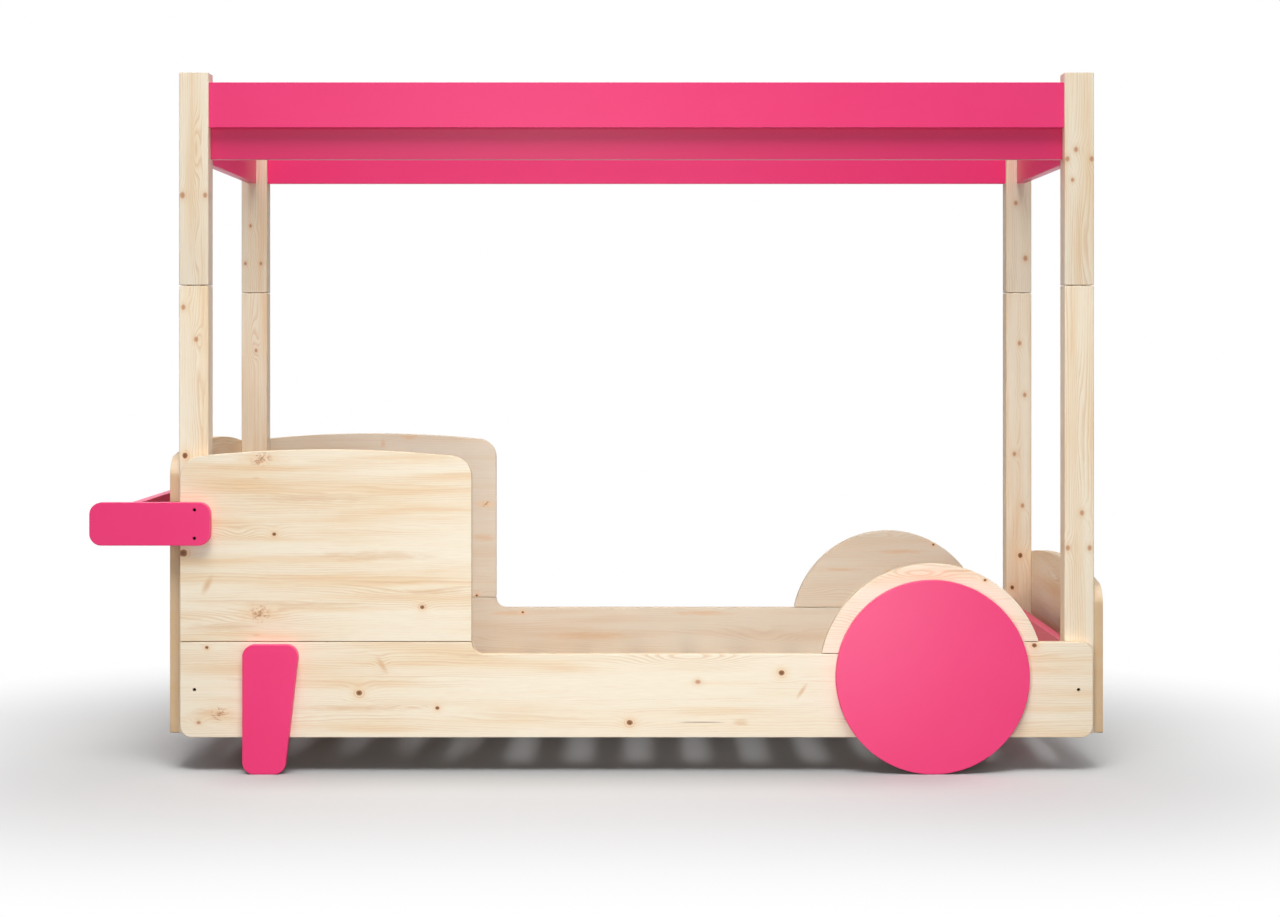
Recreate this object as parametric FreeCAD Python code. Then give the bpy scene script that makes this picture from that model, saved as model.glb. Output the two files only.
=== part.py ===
# Child's car bed: a pine bed frame shaped like a small open car, with four posts and a canopy frame.
#
# Millimetres, +Z up, floor at Z = 0. The front of the car (the bumper) points to -X, its left side to -Y.
# The pieces are drawn about the middle of the bed bay and moved along X when they are written, so that
# the finished part has X = 0 and Y = 0 at the middle of its overall box.

import FreeCAD, Part
import math
import os

V = FreeCAD.Vector

# ---------------------------------------------------------------- driving dimensions

# boards and posts
BOARD = 22.0                # thickness of every panel, rail, trim board, wheel and leg
EDGE = 2.0                  # easing radius of the sawn edges
CORNER = 28.0               # rounded corner of the rails, legs and bumper plates
CROWN_CORNER = 50.0         # rounded upper corner of the crowned panels
BAY_LENGTH = 2003.0         # clear length between the front and rear posts, for a 2000 mattress
WIDTH_OVER_POSTS = 911.0    # across the outer faces of the posts, for a 900 mattress
POST_X = 69.0               # post section along the bed
POST_Y = 58.0               # post section across the bed
POST_BOTTOM = 88.5
LOWER_POST_LENGTH = 1047.0
UPPER_POST_LENGTH = 498.5

# side rails
RAIL_BOTTOM = 82.5
RAIL_HEIGHT = 222.0
RAIL_SETBACK = 7.0          # the rail ends stop short of the posts' end faces
SILL_DROP = 27.5            # the entry sill lies this far below the rail's top edge

# bonnet panels, on the front stretch of the side rails
BONNET_LENGTH = 679.5
BONNET_HEIGHT = 448.5       # from the rail's top edge to the highest point of the crown
BONNET_RISE = 20.0          # crown, from the corners to its highest point

# rear wheels and the arch boards around them
WHEEL_RADIUS = 225.0
WHEEL_FROM_REAR = 382.5     # wheel centre, ahead of the rear posts' end faces
ARCH_MARGIN = 37.0          # arch board beyond the wheel's rim

# front legs, on the outer faces of the side rails
LEG_FRONT_SETBACK = 155.5   # front edge of the leg, behind the front posts' end faces
LEG_TOP_WIDTH = 136.0
LEG_FOOT_WIDTH = 98.0
LEG_BELOW_RAIL_TOP = 4.0

# front bumper
BUMPER_REACH = 199.5        # ahead of the front posts' end faces
BUMPER_LENGTH = 280.5
BUMPER_HEIGHT = 100.0
BUMPER_BOTTOM = 531.0
CROSS_BOARD_SETBACK = 95.0  # front face of the cross board, behind the tips of the side plates

# end panels, on the posts' end faces
END_PANEL_SETBACK = 5.5     # side edges of the end panels, inside the posts' side faces
END_PANEL_BOTTOM = 88.5
FRONT_PANEL_HEIGHT = 672.5
REAR_PANEL_HEIGHT = 372.5
END_PANEL_RISE = 30.0

# end rails, between the two posts of each end
END_RAIL_HEIGHT = 215.0

# canopy frame at the top of the posts
CANOPY_BELOW_TOP = 22.0     # top edge of the canopy boards, below the post tops
FASCIA_HEIGHT = 106.0
FASCIA_SETBACK = 6.0        # outer face of the fascia, behind the posts' side faces
CANOPY_BOARD_HEIGHT = 179.0
CANOPY_END_SETBACK = 18.0   # outer face of the end boards, behind the posts' end faces

# slats and the ledgers that carry them
LEDGER_THICKNESS = 28.0
LEDGER_HEIGHT = 40.0
LEDGER_ABOVE_RAIL_BOTTOM = 5.5
LEDGER_END_GAP = 4.0
SLAT_COUNT = 14
SLAT_WIDTH = 110.0
SLAT_THICKNESS = 20.0
SLAT_END_GAP = 3.0

# fasteners
BOLT_BORE = 8.0             # bore that takes the head of a connector bolt
BOLT_HEAD = 7.6
BOLT_HEAD_LENGTH = 7.0
BOLT_HEAD_DEPTH = 9.0       # head sunk below the face
BOLT_SHANK = 5.8
SHANK_FIT = 0.2             # clearance of the shank's bore, on the diameter
INSERT_DIAMETER = 10.0      # threaded insert, flush with the post's face
INSERT_LENGTH = 16.0
BOLT_PAST_INSERT = 4.0
SOCKET_SIZE = 4.0           # hexagon socket in the bolt head, across the flats
SOCKET_DEPTH = 3.0
RAIL_BOLT_FROM_END = 33.5
BUMPER_BOLT_FROM_END = 36.5
BUMPER_BOLT_SPACING = 66.0
PANEL_BOLT_LOW = 105.0      # above the end panel's bottom edge
PANEL_BOLT_BELOW_CROWN = 150.0
DOWEL_DIAMETER = 8.0
DOWEL_LENGTH = 50.0
DOWEL_FIT = 0.2             # clearance of a dowel's hole, on the diameter
DOWEL_FROM_EDGE = 26.0      # from a board's edge to the dowels in its ends
END_DOWEL_FROM_EDGE = 44.0  # the same, in the boards that run across the bed
DOWEL_IN_PLATE = 12.0       # depth of the cross board's dowels in the bumper's side plates
BONNET_DOWEL_FROM_END = 110.0
ARCH_DOWEL_NEAR = 70.0      # arch dowels, either side of the wheel centre
ARCH_DOWEL_FAR = 170.0
POST_DOWEL_DIAMETER = 12.0
POST_DOWEL_LENGTH = 90.0
POST_DOWEL_SPACING = 32.0
SCREW_DIAMETER = 4.0
SCREW_HEAD = 8.0
SCREW_HEAD_HEIGHT = 2.4
SCREW_BITE = 15.0           # length of a screw inside the second board
WHEEL_SCREWS = ((-40.0, 100.0), (40.0, 100.0), (-140.0, -50.0), (140.0, -50.0))
LEG_SCREW_FROM_TOP = 30.0
LEG_SCREW_RISE = 95.0
LEG_SCREW_FROM_FRONT = 34.0
LEG_SCREW_SPACING = 51.0
LEDGER_SCREW_COUNT = 5
FASCIA_SCREW_COUNT = 5
FASCIA_SCREW_FROM_END = 150.0

# ---------------------------------------------------------------- derived places

half_bay = BAY_LENGTH / 2
post_end_x = half_bay + POST_X              # end faces of the posts
post_side_y = WIDTH_OVER_POSTS / 2          # side faces of the posts
post_inner_y = post_side_y - POST_Y
rail_side_y = post_side_y + BOARD           # outer face of the side rails
trim_side_y = rail_side_y + BOARD           # outer face of the wheels, legs and bumper plates
post_joint_z = POST_BOTTOM + LOWER_POST_LENGTH
post_top_z = post_joint_z + UPPER_POST_LENGTH

rail_end_x = post_end_x - RAIL_SETBACK
rail_top_z = RAIL_BOTTOM + RAIL_HEIGHT
sill_z = rail_top_z - SILL_DROP
bonnet_rear_x = BONNET_LENGTH - rail_end_x
bonnet_top_z = rail_top_z + BONNET_HEIGHT

wheel_x = post_end_x - WHEEL_FROM_REAR
arch_radius = WHEEL_RADIUS + ARCH_MARGIN

leg_front_x = LEG_FRONT_SETBACK - post_end_x
leg_top_z = rail_top_z - LEG_BELOW_RAIL_TOP

bumper_tip_x = -post_end_x - BUMPER_REACH
bumper_rear_x = bumper_tip_x + BUMPER_LENGTH
bumper_middle_z = BUMPER_BOTTOM + BUMPER_HEIGHT / 2
cross_board_x = bumper_tip_x + CROSS_BOARD_SETBACK

canopy_top_z = post_top_z - CANOPY_BELOW_TOP
fascia_side_y = post_side_y - FASCIA_SETBACK
canopy_board_side_y = fascia_side_y - BOARD
canopy_end_x = post_end_x - CANOPY_END_SETBACK

ledger_bottom_z = RAIL_BOTTOM + LEDGER_ABOVE_RAIL_BOTTOM
slat_bottom_z = ledger_bottom_z + LEDGER_HEIGHT
ledger_inner_y = post_side_y - LEDGER_THICKNESS

panel_end_x = post_end_x + BOARD            # outer faces of the end panels
middle_x = (panel_end_x + bumper_tip_x) / 2


# ---------------------------------------------------------------- shapes

def box(x0, x1, y0, y1, z0, z1):
    return Part.makeBox(x1 - x0, y1 - y0, z1 - z0, V(x0, y0, z0))


def runs_along(edge, axis):
    """True for a straight edge that is parallel to the axis."""
    ends = [vertex.Point for vertex in edge.Vertexes]
    return len(ends) == 2 and abs((ends[1] - ends[0]).normalize().dot(axis)) > 0.999


def eased_block(solid):
    """Round every edge of a squared board or post a little."""
    return solid.makeFillet(EDGE, solid.Edges)


def eased_panel(solid, through):
    """Round the edges of a panel's two faces a little. Its thickness lies along the given axis."""
    return solid.makeFillet(EDGE, [edge for edge in solid.Edges if not runs_along(edge, through)])


def rounded(solid, radius, corners, through):
    """Round a panel's corners: those of its edges along one axis that pass through the given points."""
    picked = []
    for edge in solid.Edges:
        if runs_along(edge, through):
            for corner in corners:
                offset = edge.Vertexes[0].Point - corner
                if (offset - through * offset.dot(through)).Length < 0.01:
                    picked.append(edge)
    return solid.makeFillet(radius, picked)


def profile(steps, depth):
    """Extrude a closed outline. A step is a corner, or a pair: a point on an arc and the arc's end."""
    edges = []
    start = steps[-1][-1] if isinstance(steps[-1], tuple) else steps[-1]
    for step in steps:
        if isinstance(step, tuple):
            edges.append(Part.Arc(start, step[0], step[1]).toShape())
            start = step[1]
        else:
            edges.append(Part.makeLine(start, step))
            start = step
    return Part.Face(Part.Wire(edges)).extrude(depth)


def mirrored(shape):
    """The right-hand twin of a left-hand piece."""
    return shape.mirror(V(0, 0, 0), V(0, 1, 0))


def cylinder(start, direction, diameter, length):
    return Part.makeCylinder(diameter / 2, length, start, direction)


# ---------------------------------------------------------------- fasteners and their bores

RIGHT = V(0, 1, 0)
LEFT = V(0, -1, 0)
BACK = V(1, 0, 0)
FORWARD = V(-1, 0, 0)
UP = V(0, 0, 1)
DOWN = V(0, 0, -1)


def hexagon(start, direction, flats, depth):
    """A short hexagonal prism about an axis along X or Y."""
    other = direction.cross(UP)
    radius = flats / math.sqrt(3)
    corners = []
    for turn in range(6):
        angle = math.radians(60 * turn)
        corners.append(start + UP * (radius * math.cos(angle)) + other * (radius * math.sin(angle)))
    return profile(corners, direction * depth)


class Bolt:
    """A socket-head bolt sunk into a face, with the threaded insert in the post and the bores for both."""

    def __init__(self, face_point, direction, cover):
        head_start = face_point + direction * BOLT_HEAD_DEPTH
        shank_start = head_start + direction * BOLT_HEAD_LENGTH
        insert_start = face_point + direction * cover
        under_head = BOLT_HEAD_DEPTH + BOLT_HEAD_LENGTH
        shank_length = cover - under_head + INSERT_LENGTH + BOLT_PAST_INSERT
        head = cylinder(head_start, direction, BOLT_HEAD, BOLT_HEAD_LENGTH)
        socket = hexagon(head_start, direction, SOCKET_SIZE, SOCKET_DEPTH)
        shank = cylinder(shank_start, direction, BOLT_SHANK, shank_length)
        self.solid = head.cut(socket).fuse(shank).removeSplitter()
        head_bore = cylinder(face_point, direction, BOLT_BORE, under_head)
        shank_bore = cylinder(shank_start, direction, BOLT_SHANK + SHANK_FIT, shank_length + SHANK_FIT)
        insert_bore = cylinder(insert_start, direction, INSERT_DIAMETER, INSERT_LENGTH)
        self.insert = insert_bore.cut(shank_bore)
        self.bore = head_bore.fuse(shank_bore)
        self.post_bore = insert_bore.fuse(shank_bore)


class Screw:
    """A countersunk wood screw. Its bore is the same shape, so its head lies flush."""

    def __init__(self, face_point, direction, cover):
        head = Part.makeCone(SCREW_HEAD / 2, SCREW_DIAMETER / 2, SCREW_HEAD_HEIGHT, face_point, direction)
        body = cylinder(face_point, direction, SCREW_DIAMETER, cover + SCREW_BITE)
        self.solid = head.fuse(body).removeSplitter()
        self.bore = self.solid


class Dowel:
    """A wooden dowel centred on a joint, and the hole for it."""

    def __init__(self, centre, direction, diameter, length):
        start = centre - direction * (length / 2)
        self.solid = cylinder(start, direction, diameter, length)
        gap = DOWEL_FIT / 2
        self.bore = cylinder(start - direction * gap, direction, diameter + DOWEL_FIT, length + DOWEL_FIT)


def bored(shape, fasteners):
    """Cut the bores of the given fasteners."""
    return shape.cut([fastener.bore for fastener in fasteners])


def post_bored(shape, bolts):
    """Cut the seats of the bolts' threaded inserts into a post."""
    return shape.cut([bolt.post_bore for bolt in bolts])


def both_sides(solids):
    """The left-hand solids with their right-hand twins."""
    return solids + [mirrored(solid) for solid in solids]


# ---------------------------------------------------------------- where the fasteners go (left side)

rail_middle_y = -(post_side_y + rail_side_y) / 2
post_middle_y = (post_side_y + post_inner_y) / 2
post_middle_x = (post_end_x + half_bay) / 2
arch_base_z = {-1: sill_z, 1: rail_top_z}   # the arch board stands on the sill, then on the rail's top

rail_bolts = []
for bolt_x in (-rail_end_x + RAIL_BOLT_FROM_END, rail_end_x - RAIL_BOLT_FROM_END):
    rail_bolts.append(Bolt(V(bolt_x, -rail_side_y, RAIL_BOTTOM + RAIL_HEIGHT / 2), RIGHT, BOARD))

bumper_bolts = []
for bolt_dz in (-BUMPER_BOLT_SPACING / 2, BUMPER_BOLT_SPACING / 2):
    place = V(bumper_rear_x - BUMPER_BOLT_FROM_END, -trim_side_y, bumper_middle_z + bolt_dz)
    bumper_bolts.append(Bolt(place, RIGHT, 2 * BOARD))


def panel_bolts(face_x, direction, panel_height):
    """Two bolts through an end panel into its left post."""
    bolts = []
    for bolt_z in (PANEL_BOLT_LOW, panel_height - PANEL_BOLT_BELOW_CROWN):
        bolts.append(Bolt(V(face_x, -post_middle_y, END_PANEL_BOTTOM + bolt_z), direction, BOARD))
    return bolts


front_panel_bolts = panel_bolts(-panel_end_x, BACK, FRONT_PANEL_HEIGHT)
rear_panel_bolts = panel_bolts(panel_end_x, FORWARD, REAR_PANEL_HEIGHT)

bonnet_dowels = []
bonnet_dowel_span = BONNET_LENGTH - 2 * BONNET_DOWEL_FROM_END
for share in (0.0, 0.5, 1.0):
    dowel_x = BONNET_DOWEL_FROM_END - rail_end_x + share * bonnet_dowel_span
    bonnet_dowels.append(Dowel(V(dowel_x, rail_middle_y, rail_top_z), UP, DOWEL_DIAMETER, DOWEL_LENGTH))

arch_dowels = []
for side in (-1, 1):
    for reach in (ARCH_DOWEL_NEAR, ARCH_DOWEL_FAR):
        place = V(wheel_x + side * reach, rail_middle_y, arch_base_z[side])
        arch_dowels.append(Dowel(place, UP, DOWEL_DIAMETER, DOWEL_LENGTH))

wheel_screws = []
for dx, dz in WHEEL_SCREWS:
    wheel_screws.append(Screw(V(wheel_x + dx, -post_side_y, WHEEL_RADIUS + dz), LEFT, BOARD))

leg_screws = []
for dx in (LEG_SCREW_FROM_FRONT, LEG_SCREW_FROM_FRONT + LEG_SCREW_SPACING):
    for dz in (LEG_SCREW_FROM_TOP, LEG_SCREW_FROM_TOP + LEG_SCREW_RISE):
        leg_screws.append(Screw(V(leg_front_x + dx, -post_side_y, leg_top_z - dz), LEFT, BOARD))

slat_gap = (BAY_LENGTH - SLAT_COUNT * SLAT_WIDTH) / (SLAT_COUNT + 1)
slat_pitch = SLAT_WIDTH + slat_gap
first_slat_x = slat_gap + SLAT_WIDTH / 2 - half_bay
ledger_middle_y = (post_side_y + ledger_inner_y) / 2
slat_top_z = slat_bottom_z + SLAT_THICKNESS
slat_screws = []
for number in range(SLAT_COUNT):
    place = V(first_slat_x + number * slat_pitch, -ledger_middle_y, slat_top_z)
    slat_screws.append(Screw(place, DOWN, SLAT_THICKNESS))

ledger_screws = []
for number in range(LEDGER_SCREW_COUNT):
    gap_number = round((number + 0.5) * SLAT_COUNT / LEDGER_SCREW_COUNT)
    screw_x = first_slat_x + (gap_number - 0.5) * slat_pitch
    place = V(screw_x, -ledger_inner_y, ledger_bottom_z + LEDGER_HEIGHT / 2)
    ledger_screws.append(Screw(place, LEFT, LEDGER_THICKNESS))

fascia_screws = []
fascia_screw_pitch = (BAY_LENGTH - 2 * FASCIA_SCREW_FROM_END) / (FASCIA_SCREW_COUNT - 1)
for number in range(FASCIA_SCREW_COUNT):
    screw_x = FASCIA_SCREW_FROM_END - half_bay + number * fascia_screw_pitch
    place = V(screw_x, -(canopy_board_side_y - BOARD), canopy_top_z - FASCIA_HEIGHT / 2)
    fascia_screws.append(Screw(place, LEFT, BOARD))


def end_dowels(joint, direction, bottom_z, height, from_edge):
    """Two dowels one above the other in the end of an upright board."""
    dowels = []
    for dowel_z in (bottom_z + from_edge, bottom_z + height - from_edge):
        dowels.append(Dowel(V(joint.x, joint.y, dowel_z), direction, DOWEL_DIAMETER, DOWEL_LENGTH))
    return dowels


fascia_dowels = {}
canopy_side_dowels = {}
canopy_end_dowels = {}
end_rail_dowels = {}
fascia_bottom_z = canopy_top_z - FASCIA_HEIGHT
canopy_bottom_z = canopy_top_z - CANOPY_BOARD_HEIGHT
for end in (-1, 1):
    joint = V(end * half_bay, -(fascia_side_y - BOARD / 2), 0)
    fascia_dowels[end] = end_dowels(joint, BACK, fascia_bottom_z, FASCIA_HEIGHT, DOWEL_FROM_EDGE)
    joint = V(end * half_bay, -(canopy_board_side_y - BOARD / 2), 0)
    canopy_side_dowels[end] = end_dowels(
        joint, BACK, canopy_bottom_z, CANOPY_BOARD_HEIGHT, DOWEL_FROM_EDGE)
    joint = V(end * (canopy_end_x - BOARD / 2), -post_inner_y, 0)
    canopy_end_dowels[end] = end_dowels(
        joint, RIGHT, canopy_bottom_z, CANOPY_BOARD_HEIGHT, END_DOWEL_FROM_EDGE)
    joint = V(end * (half_bay + BOARD / 2), -post_inner_y, 0)
    end_rail_dowels[end] = end_dowels(joint, RIGHT, RAIL_BOTTOM, END_RAIL_HEIGHT, END_DOWEL_FROM_EDGE)

post_dowels = {}
for end in (-1, 1):
    post_dowels[end] = []
    for dowel_dx in (-POST_DOWEL_SPACING / 2, POST_DOWEL_SPACING / 2):
        place = V(end * post_middle_x + dowel_dx, -post_middle_y, post_joint_z)
        post_dowels[end].append(Dowel(place, UP, POST_DOWEL_DIAMETER, POST_DOWEL_LENGTH))


cross_board_dowels = []
dowel_y = -rail_side_y - DOWEL_IN_PLATE + DOWEL_LENGTH / 2
for dowel_z in (BUMPER_BOTTOM + DOWEL_FROM_EDGE, BUMPER_BOTTOM + BUMPER_HEIGHT - DOWEL_FROM_EDGE):
    place = V(cross_board_x + BOARD / 2, dowel_y, dowel_z)
    cross_board_dowels.append(Dowel(place, RIGHT, DOWEL_DIAMETER, DOWEL_LENGTH))


# ---------------------------------------------------------------- the pieces (left side)

def side_rail():
    """Lower side board. Its top steps down to the entry sill, which ends under the wheel arch."""
    sill_start = V(bonnet_rear_x + SILL_DROP, -rail_side_y, sill_z)
    curve_centre = V(sill_start.x, -rail_side_y, rail_top_z)
    slant = SILL_DROP * math.sqrt(0.5)
    front_low = V(-rail_end_x, -rail_side_y, RAIL_BOTTOM)
    front_high = V(-rail_end_x, -rail_side_y, rail_top_z)
    rear_low = V(rail_end_x, -rail_side_y, RAIL_BOTTOM)
    rear_high = V(rail_end_x, -rail_side_y, rail_top_z)
    steps = [
        front_high,
        V(bonnet_rear_x, -rail_side_y, rail_top_z),
        (curve_centre + V(-slant, 0, -slant), sill_start),
        V(wheel_x, -rail_side_y, sill_z),
        V(wheel_x, -rail_side_y, rail_top_z),
        rear_high,
        rear_low,
        front_low,
    ]
    board = profile(steps, RIGHT * BOARD)
    board = rounded(board, CORNER, [front_low, rear_low, rear_high], RIGHT)
    board = eased_panel(board, RIGHT)
    return bored(board, rail_bolts + bonnet_dowels + arch_dowels + wheel_screws + leg_screws + ledger_screws)


def bonnet_panel():
    """Upper board of the front stretch, with a gently crowned top."""
    shoulder_z = bonnet_top_z - BONNET_RISE
    front_high = V(-rail_end_x, -rail_side_y, shoulder_z)
    rear_high = V(bonnet_rear_x, -rail_side_y, shoulder_z)
    steps = [
        V(-rail_end_x, -rail_side_y, rail_top_z),
        front_high,
        (V((bonnet_rear_x - rail_end_x) / 2, -rail_side_y, bonnet_top_z), rear_high),
        V(bonnet_rear_x, -rail_side_y, rail_top_z),
    ]
    board = profile(steps, RIGHT * BOARD)
    board = rounded(board, CROWN_CORNER, [front_high, rear_high], RIGHT)
    board = eased_panel(board, RIGHT)
    return bored(board, bonnet_dowels + bumper_bolts)


def wheel_arch():
    """Round-topped board behind the wheel. It stands on the sill and, behind, on the rail's top."""
    front_reach = math.sqrt(arch_radius ** 2 - (sill_z - WHEEL_RADIUS) ** 2)
    rear_reach = math.sqrt(arch_radius ** 2 - (rail_top_z - WHEEL_RADIUS) ** 2)
    front_foot = V(wheel_x - front_reach, -rail_side_y, sill_z)
    rear_foot = V(wheel_x + rear_reach, -rail_side_y, rail_top_z)
    steps = [
        front_foot,
        (V(wheel_x, -rail_side_y, WHEEL_RADIUS + arch_radius), rear_foot),
        V(wheel_x, -rail_side_y, rail_top_z),
        V(wheel_x, -rail_side_y, sill_z),
    ]
    board = eased_panel(profile(steps, RIGHT * BOARD), RIGHT)
    return bored(board, arch_dowels + wheel_screws)


def rear_wheel():
    """Plain fixed disc that stands on the floor, screwed to the rail and the arch from inside."""
    disc = cylinder(V(wheel_x, -trim_side_y, WHEEL_RADIUS), RIGHT, 2 * WHEEL_RADIUS, BOARD)
    return bored(eased_panel(disc, RIGHT), wheel_screws)


def front_leg():
    """Tapered board that carries the front of the bed on the floor."""
    front_high = V(leg_front_x, -trim_side_y, leg_top_z)
    rear_high = V(leg_front_x + LEG_TOP_WIDTH, -trim_side_y, leg_top_z)
    rear_low = V(leg_front_x + LEG_FOOT_WIDTH, -trim_side_y, 0)
    front_low = V(leg_front_x, -trim_side_y, 0)
    corners = [front_high, rear_high, rear_low, front_low]
    board = rounded(profile(corners, RIGHT * BOARD), CORNER, corners, RIGHT)
    return bored(eased_panel(board, RIGHT), leg_screws)


def bumper_side():
    """Short rounded plate that carries the bumper's cross board ahead of the front panel."""
    high_z = BUMPER_BOTTOM + BUMPER_HEIGHT
    corners = []
    for corner_x, corner_z in (
        (bumper_tip_x, BUMPER_BOTTOM),
        (bumper_tip_x, high_z),
        (bumper_rear_x, high_z),
        (bumper_rear_x, BUMPER_BOTTOM),
    ):
        corners.append(V(corner_x, -trim_side_y, corner_z))
    board = rounded(profile(corners, RIGHT * BOARD), CORNER, corners, RIGHT)
    return bored(eased_panel(board, RIGHT), bumper_bolts + cross_board_dowels)


def post_pair(end):
    """The lower and upper post of one left-hand corner. The front end is -1, the rear end 1."""
    near_x, far_x = sorted((end * half_bay, end * post_end_x))
    lower = eased_block(box(near_x, far_x, -post_side_y, -post_inner_y, POST_BOTTOM, post_joint_z))
    upper = eased_block(box(near_x, far_x, -post_side_y, -post_inner_y, post_joint_z, post_top_z))
    bolts = [rail_bolts[0]] + bumper_bolts + front_panel_bolts
    if end == 1:
        bolts = [rail_bolts[1]] + rear_panel_bolts
    lower = bored(post_bored(lower, bolts), end_rail_dowels[end] + post_dowels[end])
    canopy_dowels = fascia_dowels[end] + canopy_side_dowels[end] + canopy_end_dowels[end]
    return lower, bored(upper, post_dowels[end] + canopy_dowels)


def end_panel(face_x, direction, height, bolts):
    """Crowned board across an end, with its outer face at face_x and its thickness along direction."""
    edge_y = post_side_y - END_PANEL_SETBACK
    top_z = END_PANEL_BOTTOM + height
    left_high = V(face_x, -edge_y, top_z - END_PANEL_RISE)
    right_high = V(face_x, edge_y, top_z - END_PANEL_RISE)
    steps = [
        V(face_x, -edge_y, END_PANEL_BOTTOM),
        left_high,
        (V(face_x, 0, top_z), right_high),
        V(face_x, edge_y, END_PANEL_BOTTOM),
    ]
    board = profile(steps, direction * BOARD)
    board = rounded(board, CROWN_CORNER, [left_high, right_high], direction)
    bores = [bolt.bore for bolt in bolts]
    return eased_panel(board, direction).cut(both_sides(bores))


def across(x0, x1, side_y, z0, z1, dowels):
    """Board across the bed between two side faces, with dowel holes in both ends."""
    board = eased_block(box(x0, x1, -side_y, side_y, z0, z1))
    return board.cut(both_sides([dowel.bore for dowel in dowels]))


def end_rail(end):
    """Lower board between the two posts of one end."""
    near_x, far_x = sorted((end * half_bay, end * (half_bay + BOARD)))
    top_z = RAIL_BOTTOM + END_RAIL_HEIGHT
    return across(near_x, far_x, post_inner_y, RAIL_BOTTOM, top_z, end_rail_dowels[end])


def canopy_end_board(end):
    """Canopy board between the two posts of one end."""
    near_x, far_x = sorted((end * (canopy_end_x - BOARD), end * canopy_end_x))
    return across(near_x, far_x, post_inner_y, canopy_bottom_z, canopy_top_z, canopy_end_dowels[end])


def canopy_fascia():
    """Outer trim board of the canopy, between the front and rear posts."""
    inner_y = fascia_side_y - BOARD
    board = box(-half_bay, half_bay, -fascia_side_y, -inner_y, fascia_bottom_z, canopy_top_z)
    return bored(eased_block(board), fascia_dowels[-1] + fascia_dowels[1] + fascia_screws)


def canopy_side_board():
    """Deeper board behind the fascia, that joins the front and rear posts."""
    inner_y = canopy_board_side_y - BOARD
    board = box(-half_bay, half_bay, -canopy_board_side_y, -inner_y, canopy_bottom_z, canopy_top_z)
    return bored(eased_block(board), canopy_side_dowels[-1] + canopy_side_dowels[1] + fascia_screws)


def slat_ledger():
    """Batten on the rail's inner face, that carries the slats."""
    end_x = half_bay - LEDGER_END_GAP
    board = box(-end_x, end_x, -post_side_y, -ledger_inner_y, ledger_bottom_z, slat_bottom_z)
    return bored(eased_block(board), ledger_screws + slat_screws)


def slat(number):
    """One slat across the two ledgers."""
    middle = first_slat_x + number * slat_pitch
    end_y = post_side_y - SLAT_END_GAP
    board = box(middle - SLAT_WIDTH / 2, middle + SLAT_WIDTH / 2, -end_y, end_y, slat_bottom_z, slat_top_z)
    return eased_block(board).cut(both_sides([slat_screws[number].bore]))


# ---------------------------------------------------------------- the finished set

pieces = {}


def add_pair(name, left_piece):
    pieces[name + "_left"] = left_piece
    pieces[name + "_right"] = mirrored(left_piece)


def add_group(name, left_solids):
    pieces[name] = Part.makeCompound(both_sides(left_solids))


add_pair("side_rail", side_rail())
add_pair("bonnet_panel", bonnet_panel())
add_pair("wheel_arch", wheel_arch())
add_pair("rear_wheel", rear_wheel())
add_pair("front_leg", front_leg())
add_pair("bumper_side", bumper_side())
pieces["bumper_cross_board"] = across(
    cross_board_x, cross_board_x + BOARD, rail_side_y, BUMPER_BOTTOM, BUMPER_BOTTOM + BUMPER_HEIGHT,
    cross_board_dowels)
pieces["front_end_panel"] = end_panel(-panel_end_x, BACK, FRONT_PANEL_HEIGHT, front_panel_bolts)
pieces["rear_end_panel"] = end_panel(panel_end_x, FORWARD, REAR_PANEL_HEIGHT, rear_panel_bolts)
for end, end_name in ((-1, "front"), (1, "rear")):
    pieces[end_name + "_end_rail"] = end_rail(end)
    lower_post, upper_post = post_pair(end)
    add_pair("lower_post_" + end_name, lower_post)
    add_pair("upper_post_" + end_name, upper_post)
    pieces["canopy_end_board_" + end_name] = canopy_end_board(end)
add_pair("canopy_fascia", canopy_fascia())
add_pair("canopy_side_board", canopy_side_board())
add_pair("slat_ledger", slat_ledger())
for slat_number in range(SLAT_COUNT):
    pieces["slat_%02d" % (slat_number + 1)] = slat(slat_number)

add_group("rail_bolts", [bolt.solid for bolt in rail_bolts])
add_group("bumper_bolts", [bolt.solid for bolt in bumper_bolts])
add_group("side_inserts", [bolt.insert for bolt in rail_bolts + bumper_bolts])
add_group("end_panel_bolts", [bolt.solid for bolt in front_panel_bolts + rear_panel_bolts])
add_group("end_panel_inserts", [bolt.insert for bolt in front_panel_bolts + rear_panel_bolts])
add_group("panel_dowels", [dowel.solid for dowel in bonnet_dowels + arch_dowels])
add_group("post_dowels", [dowel.solid for dowel in post_dowels[-1] + post_dowels[1]])
frame_dowels = list(cross_board_dowels)
for end in (-1, 1):
    frame_dowels += end_rail_dowels[end] + fascia_dowels[end]
    frame_dowels += canopy_side_dowels[end] + canopy_end_dowels[end]
add_group("frame_dowels", [dowel.solid for dowel in frame_dowels])
add_group("wheel_screws", [screw.solid for screw in wheel_screws])
add_group("leg_screws", [screw.solid for screw in leg_screws])
add_group("ledger_screws", [screw.solid for screw in ledger_screws])
add_group("slat_screws", [screw.solid for screw in slat_screws])
add_group("fascia_screws", [screw.solid for screw in fascia_screws])

os.makedirs("parts", exist_ok=True)
for name, shape in pieces.items():
    shape.translate(V(-middle_x, 0, 0))
    shape.exportStep("parts/" + name + ".step")
    print(name, len(shape.Solids), "solids", round(shape.Volume / 1000), "cm3")
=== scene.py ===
"""Looks of a child's car bed: pine boards and posts, satin pink boards, screws, floor and light.

Metres, in the frame's own axes: +X to the rear, -Y to the left side, +Z up from the floor.
"""

import math

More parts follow.
